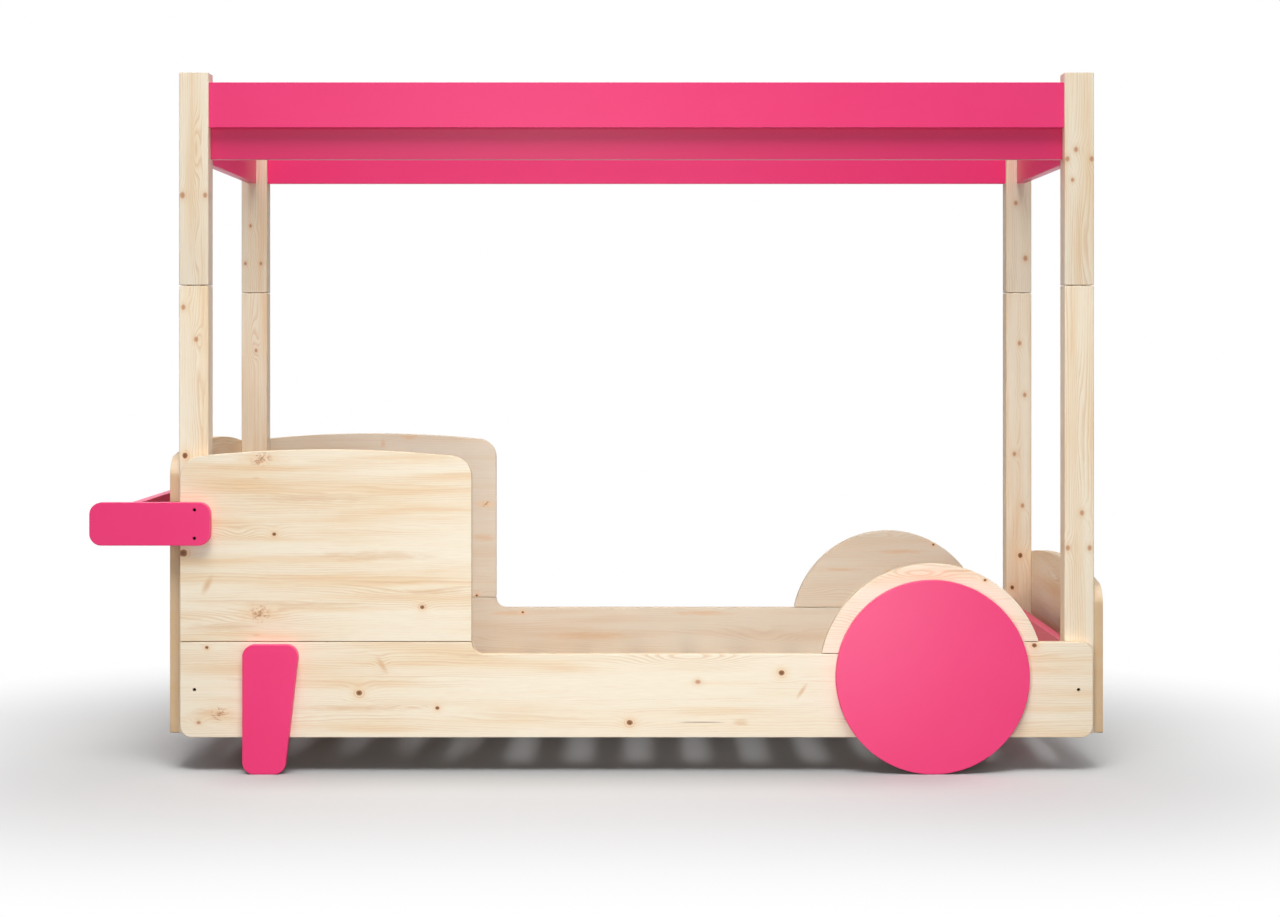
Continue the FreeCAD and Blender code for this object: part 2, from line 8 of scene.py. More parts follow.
import bpy
import numpy as np
from bpy.props import FloatProperty, FloatVectorProperty, PointerProperty
from mathutils import Matrix, Vector, geometry


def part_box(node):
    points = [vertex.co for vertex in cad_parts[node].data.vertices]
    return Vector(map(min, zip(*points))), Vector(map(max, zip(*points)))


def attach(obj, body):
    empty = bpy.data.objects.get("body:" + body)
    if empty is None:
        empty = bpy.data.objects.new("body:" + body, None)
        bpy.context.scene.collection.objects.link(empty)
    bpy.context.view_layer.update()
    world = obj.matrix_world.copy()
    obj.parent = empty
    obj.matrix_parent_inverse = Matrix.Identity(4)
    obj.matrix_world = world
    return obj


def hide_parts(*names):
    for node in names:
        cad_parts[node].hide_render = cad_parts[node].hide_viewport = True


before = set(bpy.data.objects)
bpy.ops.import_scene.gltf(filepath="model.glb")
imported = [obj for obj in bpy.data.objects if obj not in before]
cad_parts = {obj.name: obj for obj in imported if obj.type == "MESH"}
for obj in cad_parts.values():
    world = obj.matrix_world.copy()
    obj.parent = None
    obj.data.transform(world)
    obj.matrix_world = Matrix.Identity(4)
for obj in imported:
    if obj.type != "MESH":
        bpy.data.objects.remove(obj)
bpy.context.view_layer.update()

bl_info = {
    "name": "Child's Car Bed",
    "version": (1, 0, 0),
    "blender": (4, 5, 0),
    "location": "3D View > Sidebar > Car Bed",
    "description": "Makes the boards, posts, screws and finishes of a child's car bed",
    "category": "Object",
}

BODY = "root"
MM = 0.001
SIDES = ((-1, "left"), (1, "right"))
ENDS = ((-1, "front"), (1, "rear"))
ACROSS_BED = Vector((0, 1, 0))
ALONG_BED = Vector((1, 0, 0))
UPWARD = Vector((0, 0, 1))


# ---------------------------------------------------------------- shapes, as arrays

SAGITTA = 0.02 * MM         # how far a chord of any arc may lie inside it
LONGEST_EDGE = 14 * MM      # spacing of the points along boards and inside their faces
FLAT_RIM = 0.6 * MM         # flat strip beside each rounded edge and bore
EDGE_STEPS = 5              # steps in the quarter turn of a rounded edge
BORE_TURN = 32              # points round a bore
BORE_LEAD = 0.3 * MM        # bevel at the mouth of a bolt's bore
SCREW_ROOM = 0.1 * MM       # how far a screw's bore stands clear of it
SHARP_ANGLE = math.radians(40)      # faces that meet at more than this keep a sharp edge
SAME_POINT = 1e-7           # corners nearer than this are one, in metres
PLACE_DIGITS = 6            # decimals of a metre to which a CAD node's points count as one


def unit(vectors):
    """Each row divided by its own length."""
    return vectors / np.linalg.norm(vectors, axis=-1, keepdims=True)


def arc(centre, radius, first, last):
    """Points at centre + radius * (cos t, sin t), with t in radians from first to last.

    The step is the largest whose chord stays within the sagitta, 2 * acos(1 - sagitta / radius).
    """
    step = 2 * math.acos(1 - SAGITTA / radius)
    count = max(2, math.ceil(abs(last - first) / step) + 1)
    turn = np.linspace(first, last, count)
    return np.column_stack((centre[0] + radius * np.cos(turn), centre[1] + radius * np.sin(turn)))


def rounded(corners):
    """A closed outline through (a, b, radius) corners, each swapped for an arc tangent to its two sides.

    With half the corner's angle h, the arc's centre lies radius / sin h from the corner along the
    bisector, and the arc starts and ends radius / tan h from the corner along the two sides.
    """
    places = np.array([corner[:2] for corner in corners])
    parts = []
    for number, (a, b, radius) in enumerate(corners):
        here = places[number]
        if radius == 0:
            parts.append(here[None])
            continue
        before = unit(places[number - 1] - here)
        after = unit(places[(number + 1) % len(places)] - here)
        half = math.acos(np.clip(before @ after, -1, 1)) / 2
        centre = here + unit(before + after) * radius / math.sin(half)
        start = here + before * radius / math.tan(half) - centre
        end = here + after * radius / math.tan(half) - centre
        first = math.atan2(start[1], start[0])
        turn = math.remainder(math.atan2(end[1], end[0]) - first, 2 * math.pi)
        parts.append(arc(centre, radius, first, first + turn))
    return np.vstack(parts)


def crowned(low, high, rise, corner, foot):
    """Outline of a board with an arched top, anticlockwise from its lower left corner.

    The crown is the arc through both shoulders and the highest point, of radius
    (half width squared + rise squared) / (2 * rise). Each upper corner is an arc whose centre lies one
    corner radius inside the board's side and (crown radius - corner radius) from the crown's centre.
    """
    middle, half = (low[0] + high[0]) / 2, (high[0] - low[0]) / 2
    radius = (half ** 2 + rise ** 2) / (2 * rise)
    centre_b = high[1] - radius
    reach = half - corner
    corner_b = centre_b + math.sqrt((radius - corner) ** 2 - reach ** 2)
    lean = math.atan2(corner_b - centre_b, reach)
    feet = rounded([(low[0], high[1], 0), (low[0], low[1], foot),
                    (high[0], low[1], foot), (high[0], high[1], 0)])
    return np.vstack((
        feet[1:-1],
        arc((middle + reach, corner_b), corner, 0, lean),
        arc((middle, centre_b), radius, lean, math.pi - lean)[1:-1],
        arc((middle - reach, corner_b), corner, math.pi - lean, math.pi),
    ))


def spaced(outline):
    """The outline with points added along its sides, none more than the longest edge from the next."""
    after = np.roll(outline, -1, axis=0)
    counts = np.maximum(1, np.ceil(np.linalg.norm(after - outline, axis=1) / LONGEST_EDGE)).astype(int)
    start = np.repeat(outline, counts, axis=0)
    side = np.repeat(after - outline, counts, axis=0)
    first = np.repeat(np.cumsum(counts) - counts, counts)
    share = (np.arange(counts.sum()) - first) / np.repeat(counts, counts)
    return start + side * share[:, None]


def outward(outline):
    """For each point of an anticlockwise outline, the way out of it along the mitre.

    The way is the sum of the two sides' normals, stretched so that moving along it by d moves both
    sides by d: the sum divided by (1 + the cosine of the turn).
    """
    side = unit(np.roll(outline, -1, axis=0) - outline)
    normal = np.column_stack((side[:, 1], -side[:, 0]))
    before = np.roll(normal, 1, axis=0)
    return (normal + before) / (1 + (normal * before).sum(axis=1, keepdims=True))


def inside(points, loop):
    """True where a point lies inside a closed loop: a ray to the right crosses it an odd number of times."""
    after = np.roll(loop, -1, axis=0)
    a, b = points[:, :1], points[:, 1:]
    spans = (loop[:, 1] > b) != (after[:, 1] > b)
    with np.errstate(divide="ignore", invalid="ignore"):
        slope = (after[:, 0] - loop[:, 0]) / (after[:, 1] - loop[:, 1])
        crossing = loop[:, 0] + (b - loop[:, 1]) * slope
    return (spans & (a < crossing)).sum(axis=1) % 2 == 1


def filled(loops):
    """Triangles inside the first loop and outside the others, on a square lattice of points.

    Returns the lattice points that lie clear of every loop, and triangles as numbers of the loops'
    points in order, followed by the lattice's.
    """
    rim = np.vstack(loops)
    low, high = loops[0].min(axis=0), loops[0].max(axis=0)
    steps = [np.arange(low[k] + LONGEST_EDGE / 2, high[k], LONGEST_EDGE) for k in (0, 1)]
    lattice = np.stack(np.meshgrid(*steps), axis=-1).reshape(-1, 2)
    gap = np.linalg.norm(lattice[:, None] - rim[None], axis=2).min(axis=1) if len(lattice) else np.zeros(0)
    lattice = lattice[gap > LONGEST_EDGE / 2]
    lattice = lattice[inside(lattice, loops[0])]
    for loop in loops[1:]:
        lattice = lattice[~inside(lattice, loop)]
    points = np.vstack((rim, lattice))
    sides, first = [], 0
    for loop in loops:
        numbers = np.arange(len(loop))
        sides += np.column_stack((first + numbers, first + np.roll(numbers, -1))).tolist()
        first += len(loop)
    found = geometry.delaunay_2d_cdt([Vector(p) for p in points], sides, [], 1, SAME_POINT)
    origin = np.array([numbers[0] for numbers in found[3]])
    triangles = origin[np.array(found[2])]
    middle = points[triangles].mean(axis=1)
    for loop in loops[1:]:
        keep = ~inside(middle, loop)
        triangles, middle = triangles[keep], middle[keep]
    return lattice, triangles


class Shape:
    """Blocks of points and faces that make one mesh."""

    def __init__(self):
        self.points = []
        self.faces = []
        self.count = 0

    def add(self, points):
        """Adds a block of points of any grid shape and returns their numbers in the same shape."""
        numbers = np.arange(self.count, self.count + points[..., 0].size).reshape(points.shape[:-1])
        self.points.append(points.reshape(-1, 3))
        self.count += numbers.size
        return numbers

    def skin(self, grid, flip=False):
        """Quads between the rows of a grid of numbers whose columns close on themselves."""
        after = np.roll(grid, -1, axis=1)
        quads = np.stack((grid[:-1], after[:-1], after[1:], grid[1:]), axis=-1).reshape(-1, 4)
        self.faces += (quads[:, ::-1] if flip else quads).tolist()

    def piece(self, name, plane, material, slot, nodes):
        """Puts the shape on its plane as a finished object that rides on the frame."""
        points = plane.place(np.vstack(self.points))
        faces = [face[::-1] for face in self.faces] if plane.mirrored else self.faces
        mesh = bpy.data.meshes.new(name)
        mesh.from_pydata(points.tolist(), [], faces)
        mesh.materials.append(material)
        mesh.shade_smooth()
        mesh.set_sharp_from_angle(angle=SHARP_ANGLE)
        mesh.update()
        made = bpy.data.objects.new(name, mesh)
        bpy.context.scene.collection.objects.link(made)
        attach(made, BODY)
        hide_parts(*nodes)
        return made


class Plane:
    """Where a board lies: its inner face's origin, its two directions and the way out of its outer face."""

    def __init__(self, origin, first, second, out):
        self.origin = np.array(origin, float)
        self.axes = np.array((first, second, out), float)
        self.mirrored = np.linalg.det(self.axes) < 0

    def place(self, local):
        """Each point is the origin plus its three local numbers along the three directions."""
        return self.origin + local @ self.axes

    def local(self, points):
        """The way back: how far each point lies from the origin along the three directions."""
        return (np.array(points, float) - self.origin) @ self.axes.T


def islands(node):
    """Lowest and highest corners of each separate solid of a CAD node.

    Points at one place count as one. Every point starts with its own number as its label, and the
    lowest label spreads over each triangle until nothing changes.
    """
    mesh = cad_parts[node].data
    places = np.zeros(len(mesh.vertices) * 3, np.float32)
    mesh.vertices.foreach_get("co", places)
    places = places.reshape(-1, 3)
    corners = np.zeros(len(mesh.loops), np.int32)
    mesh.loops.foreach_get("vertex_index", corners)
    _, same = np.unique(np.round(places, PLACE_DIGITS), axis=0, return_inverse=True)
    same = same.reshape(-1)
    triangles = same[corners].reshape(-1, 3)
    label = np.arange(same.max() + 1)
    while True:
        lowest = label[triangles].min(axis=1)
        spread = label.copy()
        np.minimum.at(spread, triangles.reshape(-1), np.repeat(lowest, 3))
        spread = spread[spread]
        if (spread == label).all():
            break
        label = spread
    owner = label[same]
    return [(places[owner == one].min(axis=0), places[owner == one].max(axis=0)) for one in np.unique(owner)]


def bolt_bore(sizes):
    """A bolt's bore from its face inwards, in rows of (radius, depth): wide for the head, then the shank's.

    The board carries the last radius on to its other face.
    """
    radius, shank = sizes.bolt_bore / 2, sizes.bolt_shank / 2
    depth = sizes.bolt_bore_depth
    return [(radius + BORE_LEAD, 0), (radius, BORE_LEAD), (radius, depth), (shank, depth)]


def screw_bore(sizes):
    """A screw's bore from its face inwards: a cone for the countersunk head, then the shank's."""
    head, shank = sizes.screw_head / 2 + SCREW_ROOM, sizes.screw / 2 + SCREW_ROOM
    return [(head, 0), (shank, sizes.screw_head_height)]


def edge_profile(easing, thickness):
    """Inset from the outline and level above the inner face of each ring, from the inner rim to the outer.

    With e the easing and t going from 0 to a quarter turn, the edge lies e * (1 - cos t) inside the
    outline where it is e * (1 - sin t) from the nearer face.
    """
    turn = np.linspace(0, math.pi / 2, EDGE_STEPS + 1)
    inset = np.append(easing * (1 - np.cos(turn)), easing + FLAT_RIM)
    sink = np.append(easing * (1 - np.sin(turn)), 0)
    return np.concatenate((inset[::-1], inset)), np.concatenate((sink[::-1], thickness - sink))


def raised(rings, levels):
    """Rings of places on the face, each with its own level above the inner face as third number."""
    levels = np.broadcast_to(levels[:, None, None], rings.shape[:2] + (1,))
    return np.concatenate((rings, levels), axis=2)


def board(name, outline, plane, thickness, finish, nodes, sizes, bores=()):
    """A flat board: a rounded edge profile carried round its outline, flat faces and turned bores.

    A bore is its row of radii against depths, turned about the bore's axis. Each bore is (fastener
    node, its rows, True if from the inner face), and it is made wherever one of the node's solids
    passes through this board.
    """
    outline = spaced(outline)
    inset, level = edge_profile(sizes.easing, thickness)
    rings = outline[None] - inset[:, None, None] * outward(outline)[None]
    shape = Shape()
    edge = shape.add(raised(rings, level))
    shape.skin(edge)
    loops = {True: [(rings[0], edge[0])], False: [(rings[-1], edge[-1])]}
    circle = np.linspace(0, 2 * math.pi, BORE_TURN, endpoint=False)
    round_way = np.column_stack((np.cos(circle), np.sin(circle)))
    for node, rows, from_inner in bores:
        for low, high in islands(node):
            ends = plane.local((low, high))
            centre = ends[:, :2].mean(axis=0)
            crosses = min(ends[:, 2].max(), thickness) - max(ends[:, 2].min(), 0) > MM
            if not (crosses and inside(centre[None], outline)[0]):
                continue
            mouth, far = rows[0][0], rows[-1][0]
            steps = [(mouth + FLAT_RIM, 0), *rows, (far, thickness), (far + FLAT_RIM, thickness)]
            radius, depth = np.array(steps).T
            wall = centre + radius[:, None, None] * round_way
            turned = shape.add(raised(wall, depth if from_inner else thickness - depth))
            shape.skin(turned, flip=from_inner)
            loops[from_inner].append((wall[0], turned[0]))
            loops[not from_inner].append((wall[-1], turned[-1]))
    for inner, found in loops.items():
        lattice, triangles = filled([places for places, _ in found])
        height = np.full((len(lattice), 1), 0 if inner else thickness)
        flat = shape.add(np.hstack((lattice, height)))
        triangles = np.concatenate([numbers for _, numbers in found] + [flat])[triangles]
        shape.faces += (triangles[:, ::-1] if inner else triangles).tolist()
    return shape.piece(name, plane, *finish, nodes)


def fitted(node, ending, outline, plane, finish, sizes, bores=()):
    """A board as thick as the node that it takes the place of."""
    low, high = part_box(node)
    return board(node + ending, outline, plane, min(high - low), finish, [node], sizes, bores)


def panel_plane(node, side=0, end=0):
    """The plane of a board that stands lengthways on one side, or across the bed at one end."""
    low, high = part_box(node)
    if side:
        inner = min(abs(low.y), abs(high.y))
        plane = Plane((0, side * inner, 0), ALONG_BED, UPWARD, ACROSS_BED * side)
        return plane, (low.x, low.z), (high.x, high.z)
    inner = low.x if end > 0 else high.x
    return Plane((inner, 0, 0), ACROSS_BED, UPWARD, ALONG_BED * end), (low.y, low.z), (high.y, high.z)


def on_sides(pattern):
    """For each side of the bed: its name, its node, and the node's plane and two corners on it."""
    for side, name in SIDES:
        yield name, pattern % name, *panel_plane(pattern % name, side=side)


def squared(low, high, radius):
    """Outline of a rectangle with four like corners."""
    return rounded([(low[0], low[1], radius), (high[0], low[1], radius),
                    (high[0], high[1], radius), (low[0], high[1], radius)])


# ---------------------------------------------------------------- screws

SCREW_TURN = 32             # points round a screw
SCREW_SEED = 7              # of the random turn of each cross recess
HEAD_RINGS = (0.3, 0.55, 0.8, 1.1, 1.5, 1.9, 2.1, 2.35, 3.2)    # radii of the head's points, in millimetres
RIM_RING = 0.15             # and the last ring's distance from the rim
HEAD_RIM = 0.15 * MM        # height of the rim
HEAD_ROOM = 0.05 * MM       # how far the rim stands clear of its bore
POINT_LENGTH = 4 * MM
TIP_RADIUS = 0.2 * MM
TIP_LENGTH = 1 * MM
RECESS_DEPTH = 1.5 * MM
RECESS_REACH = 2.1 * MM
RECESS_HALF_WIDTH = 0.55 * MM
RECESS_SLOPE = 0.25 * MM
SCREW_SINK = 0.2 * MM       # the head lies this far below the board's face


def smooth_step(values, low, high):
    """0 below low, 1 above high, and 3 t squared - 2 t cubed between them."""
    t = np.clip((values - low) / (high - low), 0, 1)
    return t * t * (3 - 2 * t)


def screws(name, node, inward, finish, sizes):
    """All countersunk screws of one group, with a cross recess in each head and a pointed shank.

    The head's top is a function of radius and angle: it sinks by the recess depth where the nearer
    of the two cross arms is closer than the arm's half width, and no further out than its reach.
    Below, the screw is a row of radii against depths turned about its axis.
    """
    turn = np.linspace(0, 2 * math.pi, SCREW_TURN, endpoint=False)
    head, shank = sizes.screw_head / 2 - HEAD_ROOM, sizes.screw / 2
    top = np.array((*HEAD_RINGS, head / MM - RIM_RING)) * MM
    arm = np.minimum(np.abs(np.outer(top, np.sin(turn))), np.abs(np.outer(top, np.cos(turn))))
    recess = 1 - smooth_step(arm, RECESS_HALF_WIDTH, RECESS_HALF_WIDTH + RECESS_SLOPE)
    recess *= 1 - smooth_step(top, RECESS_REACH, RECESS_REACH + RECESS_SLOPE)[:, None]
    shape = Shape()
    spin = np.random.default_rng(SCREW_SEED)
    for low, high in islands(node):
        side = np.sign((low + high)[1])
        way = np.array(inward(side), float)
        length = np.abs((high - low) @ way)
        start = (low + high) / 2 - way * length / 2 + way * SCREW_SINK
        first = np.cross(way, (1, 0, 0))
        axes = np.array((first, np.cross(way, first), way))
        below = [(head, HEAD_RIM), (shank, sizes.screw_head_height),
                 (shank, length - POINT_LENGTH), (TIP_RADIUS, length - TIP_LENGTH)]
        radius = np.concatenate((top, [row[0] for row in below]))
        lower = np.repeat([[row[1]] for row in below], SCREW_TURN, axis=1)
        depth = np.concatenate((recess * RECESS_DEPTH, lower))
        angle = turn + spin.uniform(0, math.pi)
        local = np.stack((radius[:, None] * np.cos(angle), radius[:, None] * np.sin(angle), depth), axis=-1)
        rows = shape.add(start + local @ axes)
        shape.skin(rows, flip=True)
        ends = shape.add(start + np.array(((0, 0, RECESS_DEPTH), (0, 0, length - TIP_LENGTH))) @ axes)
        after = np.roll(rows, -1, axis=1)
        middle, tip = (np.full(SCREW_TURN, number) for number in ends)
        shape.faces += np.column_stack((after[0], rows[0], middle)).tolist()
        shape.faces += np.column_stack((rows[-1], after[-1], tip)).tolist()
    at_home = Plane((0, 0, 0), ALONG_BED, ACROSS_BED, UPWARD)
    return shape.piece(name, at_home, *finish, [node])


# ---------------------------------------------------------------- finishes, as shader nodes

SEED_WAY = (1, 1.7, 2.3)    # the way in which a seed moves a noise


def paint(red, green, blue):
    """A display colour of 0 to 255 as linear light."""
    shares = (red / 255, green / 255, blue / 255)
    return tuple(s / 12.92 if s <= 0.04045 else ((s + 0.055) / 1.055) ** 2.4 for s in shares)


class Value:
    """A number that varies over a surface. Arithmetic on it adds Math nodes to its finish."""

    def __init__(self, finish, socket):
        self.finish = finish
        self.socket = socket

    def maths(self, operation, first, second=0.0):
        """The result of one Math node."""
        node = self.finish.node("ShaderNodeMath", {"operation": operation}, {0: first, 1: second})
        return Value(self.finish, node.outputs[0])

    def __add__(self, other):
        return self.maths("ADD", self, other)

    def __sub__(self, other):
        return self.maths("SUBTRACT", self, other)

    def __rsub__(self, other):
        return self.maths("SUBTRACT", other, self)

    def __mul__(self, other):
        return self.maths("MULTIPLY", self, other)

    def __truediv__(self, other):
        return self.maths("DIVIDE", self, other)

    __radd__ = __add__
    __rmul__ = __mul__

    def fraction(self):
        return self.maths("FRACT", self)

    def absolute(self):
        return self.maths("ABSOLUTE", self)

    def sine(self):
        return self.maths("SINE", self)

    def angle(self, first):
        """The angle of the point (first, self) about the origin, in radians."""
        return self.maths("ARCTAN2", self, first)

    def least(self, other):
        return self.maths("MINIMUM", self, other)

    def exponential(self):
        return self.maths("EXPONENT", self)

    def ramp(self, low, high):
        """0 below low and 1 above high, smooth between them."""
        node = self.finish.node("ShaderNodeMapRange", {"interpolation_type": "SMOOTHSTEP"},
                                {"Value": self, "From Min": low, "From Max": high})
        return Value(self.finish, node.outputs["Result"])

    def fade(self, low, high):
        """1 below low and 0 above high, smooth between them."""
        return 1 - self.ramp(low, high)

    def bell(self, steepness):
        """1 where the value is 0 and less on both sides: e to the power of -steepness * value squared."""
        return (self * self * -steepness).exponential()


class Nodes:
    """A node tree under way, started empty. Every node comes from its node method."""

    def __init__(self, tree):
        self.tree = tree
        self.tree.nodes.clear()

    def node(self, kind, settings=None, inputs=None):
        """Adds a node: its settings first, then the values or links of its sockets."""
        node = self.tree.nodes.new(kind)
        for key, value in (settings or {}).items():
            setattr(node, key, value)
        for key, value in (inputs or {}).items():
            if isinstance(value, Value):
                value = value.socket
            if isinstance(value, bpy.types.NodeSocket):
                self.tree.links.new(node.inputs[key], value)
            else:
                node.inputs[key].default_value = value
        return node

    def seen_or_mirrored(self):
        """1 for what the camera sees, itself or in a gloss or through glass, and 0 for other light."""
        ray = self.node("ShaderNodeLightPath").outputs
        both = Value(self, ray["Is Camera Ray"]) + ray["Is Glossy Ray"] + ray["Is Transmission Ray"]
        return both.least(1.0)


class Finish(Nodes):
    """A material under way."""

    def __init__(self, name):
        self.material = bpy.data.materials.new(name)
        self.material.use_nodes = True
        super().__init__(self.material.node_tree)

    def place(self, origin=(0, 0, 0), along=ALONG_BED, across=ACROSS_BED):
        """Object coordinates in millimetres from an origin: along the grain, across it, through the board."""
        turn = Matrix((along, across, along.cross(across))).transposed().to_euler()
        found = self.node("ShaderNodeTexCoord").outputs["Object"]
        return self.node("ShaderNodeMapping", {"vector_type": "TEXTURE"}, {
            "Vector": found, "Location": origin, "Rotation": turn, "Scale": (MM, MM, MM)}).outputs[0]

    def facing(self, way):
        """How squarely the surface faces a direction or its opposite, from 0 to 1."""
        normal = self.node("ShaderNodeTexCoord").outputs["Normal"]
        dot = self.node("ShaderNodeVectorMath", {"operation": "DOT_PRODUCT"}, {0: normal, 1: way})
        return Value(self, dot.outputs["Value"]).absolute()

    def vector(self, operation, first, second=(0, 0, 0)):
        """The result of one Vector Math node."""
        return self.node("ShaderNodeVectorMath", {"operation": operation}, {0: first, 1: second}).outputs[0]

    def size(self, vector):
        """The length of a vector."""
        measure = self.node("ShaderNodeVectorMath", {"operation": "LENGTH"}, {0: vector})
        return Value(self, measure.outputs["Value"])

    def noise(self, place, sizes, detail, offset=0.0):
        """Soft noise of mean 0 and reach about 0.5, whose cells are the given sizes in millimetres."""
        stretched = self.vector("MULTIPLY", place, [1 / size for size in sizes])
        moved = self.vector("ADD", stretched, [offset * step for step in SEED_WAY])
        node = self.node("ShaderNodeTexNoise", {"noise_dimensions": "3D"},
                         {"Vector": moved, "Scale": 1.0, "Detail": detail, "Roughness": 0.5})
        return Value(self, node.outputs[0]) - 0.5

    def distance(self, place, along, across, reach_along, reach_across):
        """Distance from a spot on the face, with each direction measured in its own reach."""
        moved = self.vector("SUBTRACT", place, (along, across, 0))
        return self.size(self.vector("MULTIPLY", moved, (1 / reach_along, 1 / reach_across, 0)))

    def nearest(self, place, spots):
        """The least of the distances from several (along, across, reach along, reach across) spots."""
        least = None
        for spot in spots:
            found = self.distance(place, *spot)
            least = found if least is None else least.least(found)
        return least

    def mix(self, share, first, second):
        """The first colour with a share of the second laid over it. Each is a link or a plain colour."""
        first, second = (colour if isinstance(colour, bpy.types.NodeSocket) else (*colour, 1)
                         for colour in (first, second))
        return self.node("ShaderNodeMix", {"data_type": "RGBA"}, {0: share, 6: first, 7: second}).outputs[2]

    def surface(self, colour, roughness, height, depth, **constants):
        """Ends the material: a principled surface with a bump of the given depth in metres."""
        bump = self.node("ShaderNodeBump", None, {"Height": height, "Distance": depth})
        shader = self.node("ShaderNodeBsdfPrincipled", None, {
            "Base Color": colour, "Roughness": roughness, "Normal": bump.outputs[0]})
        for key, value in constants.items():
            shader.inputs[key.replace("_", " ")].default_value = value
        self.node("ShaderNodeOutputMaterial", None, {"Surface": shader.outputs[0]})
        return self.material


# ---------------------------------------------------------------- pine, lacquer, steel and beech

class Grain:
    """What makes one pine board unlike the next. Places are millimetres along and across the board."""

    def __init__(self, seed, knots=(), red_knots=(), arcs=(), feathers=(), smudges=(), spikes=(), cracks=(),
                 tone=0.0, far_side_painted_shade=0.0, edges=0.6, ends=None):
        self.seed = seed
        self.knots = knots              # dark tight knots: along, across, radius
        self.red_knots = red_knots      # pale reddish knots: along, across, radius
        self.arcs = arcs                # where the rings close: along, across, two reaches, lift
        self.feathers = feathers        # reddish strokes round a cut branch: along, across, two reaches
        self.smudges = smudges          # long tan streaks with ragged edges: along, across, two reaches
        self.spikes = spikes            # slanted branches: along, across, half length, half width, degrees
        self.cracks = cracks            # thin dark resin lines: along, across, two reaches
        self.tone = tone                # above 0 is warmer
        self.far_side_painted_shade = far_side_painted_shade                # share of painted shade: the greyer wood that stands in for the far side's cooler light
        self.edges = edges              # how dark the narrow faces are, and the bores, where the darkening is painted shade
        self.ends = ends                # where the end grain begins, along the board


# The soft noises in the pine: sizes of the cells in millimetres along the grain, across it and through the
# board, the detail, and what is added to the board's own seed.
DRIFT = ((700, 90, 90), 2, 0)               # slow bend of the rings
WAVER = ((110, 18, 18), 3, 3)               # shorter bend of the rings
RING_SLIP = ((2500, 34, 34), 1, 5)          # slow change of the ring number
PATCHES = ((300, 20, 20), 2, 9)             # where the late wood is strong
WIDE_BANDS = ((800, 70, 70), 2, 11)
RAGGED_BANDS = ((380, 24, 24), 6, 12)
FIBRES = ((34, 1.1, 1.1), 3, 13)
STREAKS = ((45, 2.2, 2.2), 2, 17)
SMUDGE_EDGE = ((34, 4, 4), 4, 19)
STROKE_BEND = ((11, 6, 6), 3, 21)
KNOT_EDGE = ((3, 3, 3), 2, 23)
FEATHER_EDGE = ((20, 4, 4), 3, 25)

# What moves the rings, in millimetres across the board.
RING_LEAN = 0.45            # for each millimetre through the board
DRIFT_LIFT, WAVER_LIFT, KNOT_LIFT = 46, 7, 11
KNOT_LIFT_STEEPNESS = 0.06
RINGS_SLIPPED = 3           # rings that the slow change adds or takes at most

# How long the marks are, and how far the noises move their edges, both in the marks' own reaches.
KNOT_LENGTH, RED_KNOT_LENGTH, FEATHER_HALO_LENGTH = 1.15, 1.3, 2.6
SMUDGE_RAG, FEATHER_RAG, KNOT_RAG = 1.6, 1.2, 0.5
STROKES = 2                 # waves of strokes in a full turn round a cut branch
STROKE_WANDER = 17          # radians that the noise turns them by
END_BAND = (1.4, 0.2)       # the end grain starts and is full this far inside a board's end, in millimetres

# How strongly each mark covers the wood under it, from 0 to 1.
SHOW = {"tan": 0.75, "streak": 0.2, "fibre": 0.16, "smudge": 0.5, "spike": 0.75, "crack": 0.85,
        "feather halo": 0.6, "stroke": 0.75, "feather heart": 0.6, "red halo": 0.45, "red knot": 0.7,
        "knot halo": 0.6, "ring round knot": 0.6, "end grain": 0.55}


